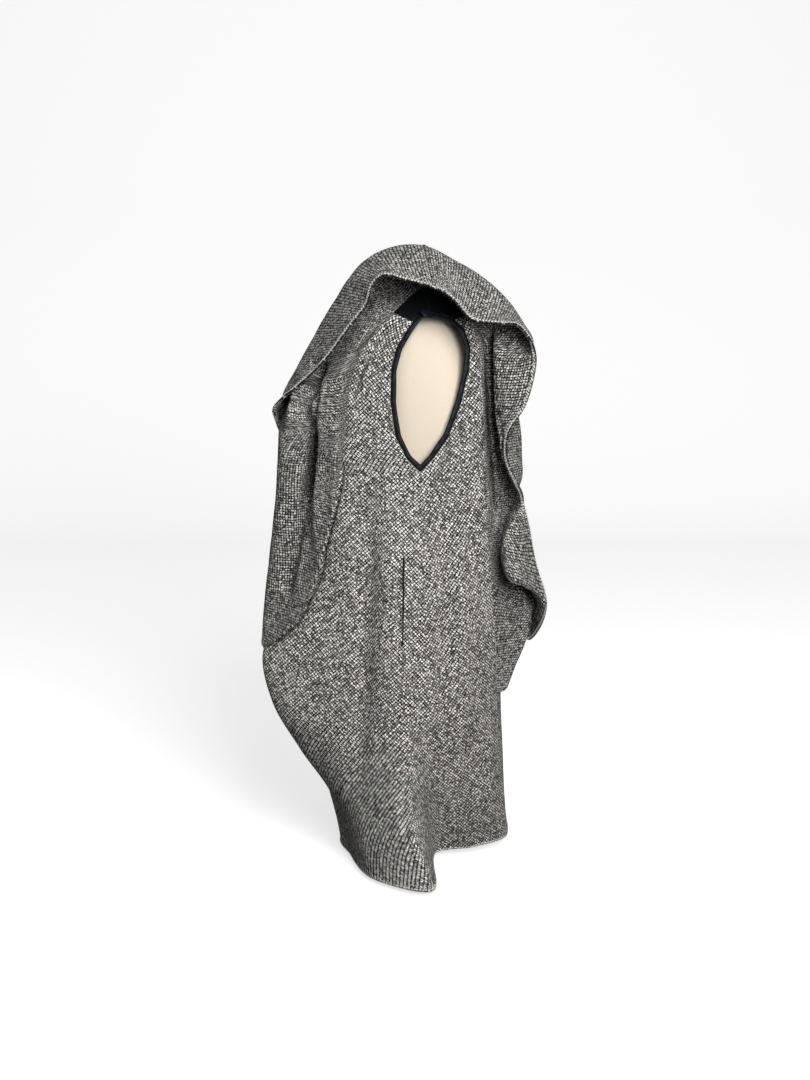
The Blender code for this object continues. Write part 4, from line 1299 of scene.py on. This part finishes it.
def light_room(stage):
    """A white room whose light falls off away from the side it leans to."""
    world = bpy.data.worlds.new("studio_room")
    world.use_nodes = True
    nodes, links = world.node_tree.nodes, world.node_tree.links
    way = nodes.new("ShaderNodeTexCoord")
    lean = nodes.new("ShaderNodeVectorMath")
    lean.operation = "DOT_PRODUCT"
    lean.inputs[1].default_value = ROOM_LEAN
    fall = nodes.new("ShaderNodeMapRange")
    limits = {"From Min": ROOM_RANGE[0], "From Max": ROOM_RANGE[1],
              "To Min": ROOM_SHADE * stage.sky, "To Max": stage.sky}
    for name, value in limits.items():
        fall.inputs[name].default_value = value
    links.new(way.outputs["Generated"], lean.inputs[0])
    links.new(lean.outputs["Value"], fall.inputs["Value"])
    links.new(fall.outputs["Result"], nodes["Background"].inputs["Strength"])
    nodes["Background"].inputs["Color"].default_value = (1.0, 1.0, 1.0, 1.0)
    bpy.context.scene.world = world


class CAPE_OT_stage(bpy.types.Operator):
    """Sets the pale floor, the soft light and the camera"""

    bl_idname = "cape.stage"
    bl_label = "Studio"

    def execute(self, context):
        scene, stage = context.scene, context.scene.cape_stage
        lay_floor(stage)
        light_room(stage)
        key = bpy.data.lights.new("key_light", "AREA")
        key.shape = "RECTANGLE"
        key.size, key.size_y = KEY_SIZE
        key.energy = stage.key_power
        lamp = place_in_studio("key_light", key, KEY_PLACE, KEY_TURN)
        lamp.visible_camera = False
        eye = bpy.data.cameras.new("camera")
        eye.sensor_fit = "VERTICAL"
        eye.sensor_height = CAMERA_SENSOR
        eye.lens = CAMERA_LENS
        scene.camera = place_in_studio("camera", eye, CAMERA_PLACE, CAMERA_TURN)
        scene.view_settings.view_transform = "Standard"
        return {"FINISHED"}


class CAPE_PT_panel(bpy.types.Panel):
    """Lists the steps of the cape in order"""

    bl_idname = "CAPE_PT_panel"
    bl_label = "Winged cape"
    bl_space_type = "VIEW_3D"
    bl_region_type = "UI"
    bl_category = "Cape"

    def draw(self, context):
        for step in STEPS:
            self.layout.operator(step.bl_idname)
        for group in (context.scene.cape_sizes, context.scene.cape_cloth, context.scene.cape_stage):
            for name in group.__annotations__:
                self.layout.prop(group, name)


GROUPS = {"cape_sizes": CapeSizes, "cape_cloth": CapeCloth, "cape_stage": CapeStage}
STEPS = (CAPE_OT_body, CAPE_OT_wings, CAPE_OT_yokes, CAPE_OT_bindings, CAPE_OT_pockets,
         CAPE_OT_stitching, CAPE_OT_dress_form, CAPE_OT_stage)


def register():
    for group in GROUPS.values():
        bpy.utils.register_class(group)
    for step in (*STEPS, CAPE_PT_panel):
        bpy.utils.register_class(step)
    for name, group in GROUPS.items():
        setattr(bpy.types.Scene, name, PointerProperty(type=group))


def unregister():
    for name in GROUPS:
        delattr(bpy.types.Scene, name)
    for step in (CAPE_PT_panel, *reversed(STEPS), *reversed(GROUPS.values())):
        bpy.utils.unregister_class(step)


def main():
    register()
    bpy.ops.cape.body()
    bpy.ops.cape.wings()
    bpy.ops.cape.yokes()
    bpy.ops.cape.bindings()
    bpy.ops.cape.pockets()
    bpy.ops.cape.stitching()
    bpy.ops.cape.dress_form()
    bpy.ops.cape.stage()


if __name__ == "__main__":
    main()
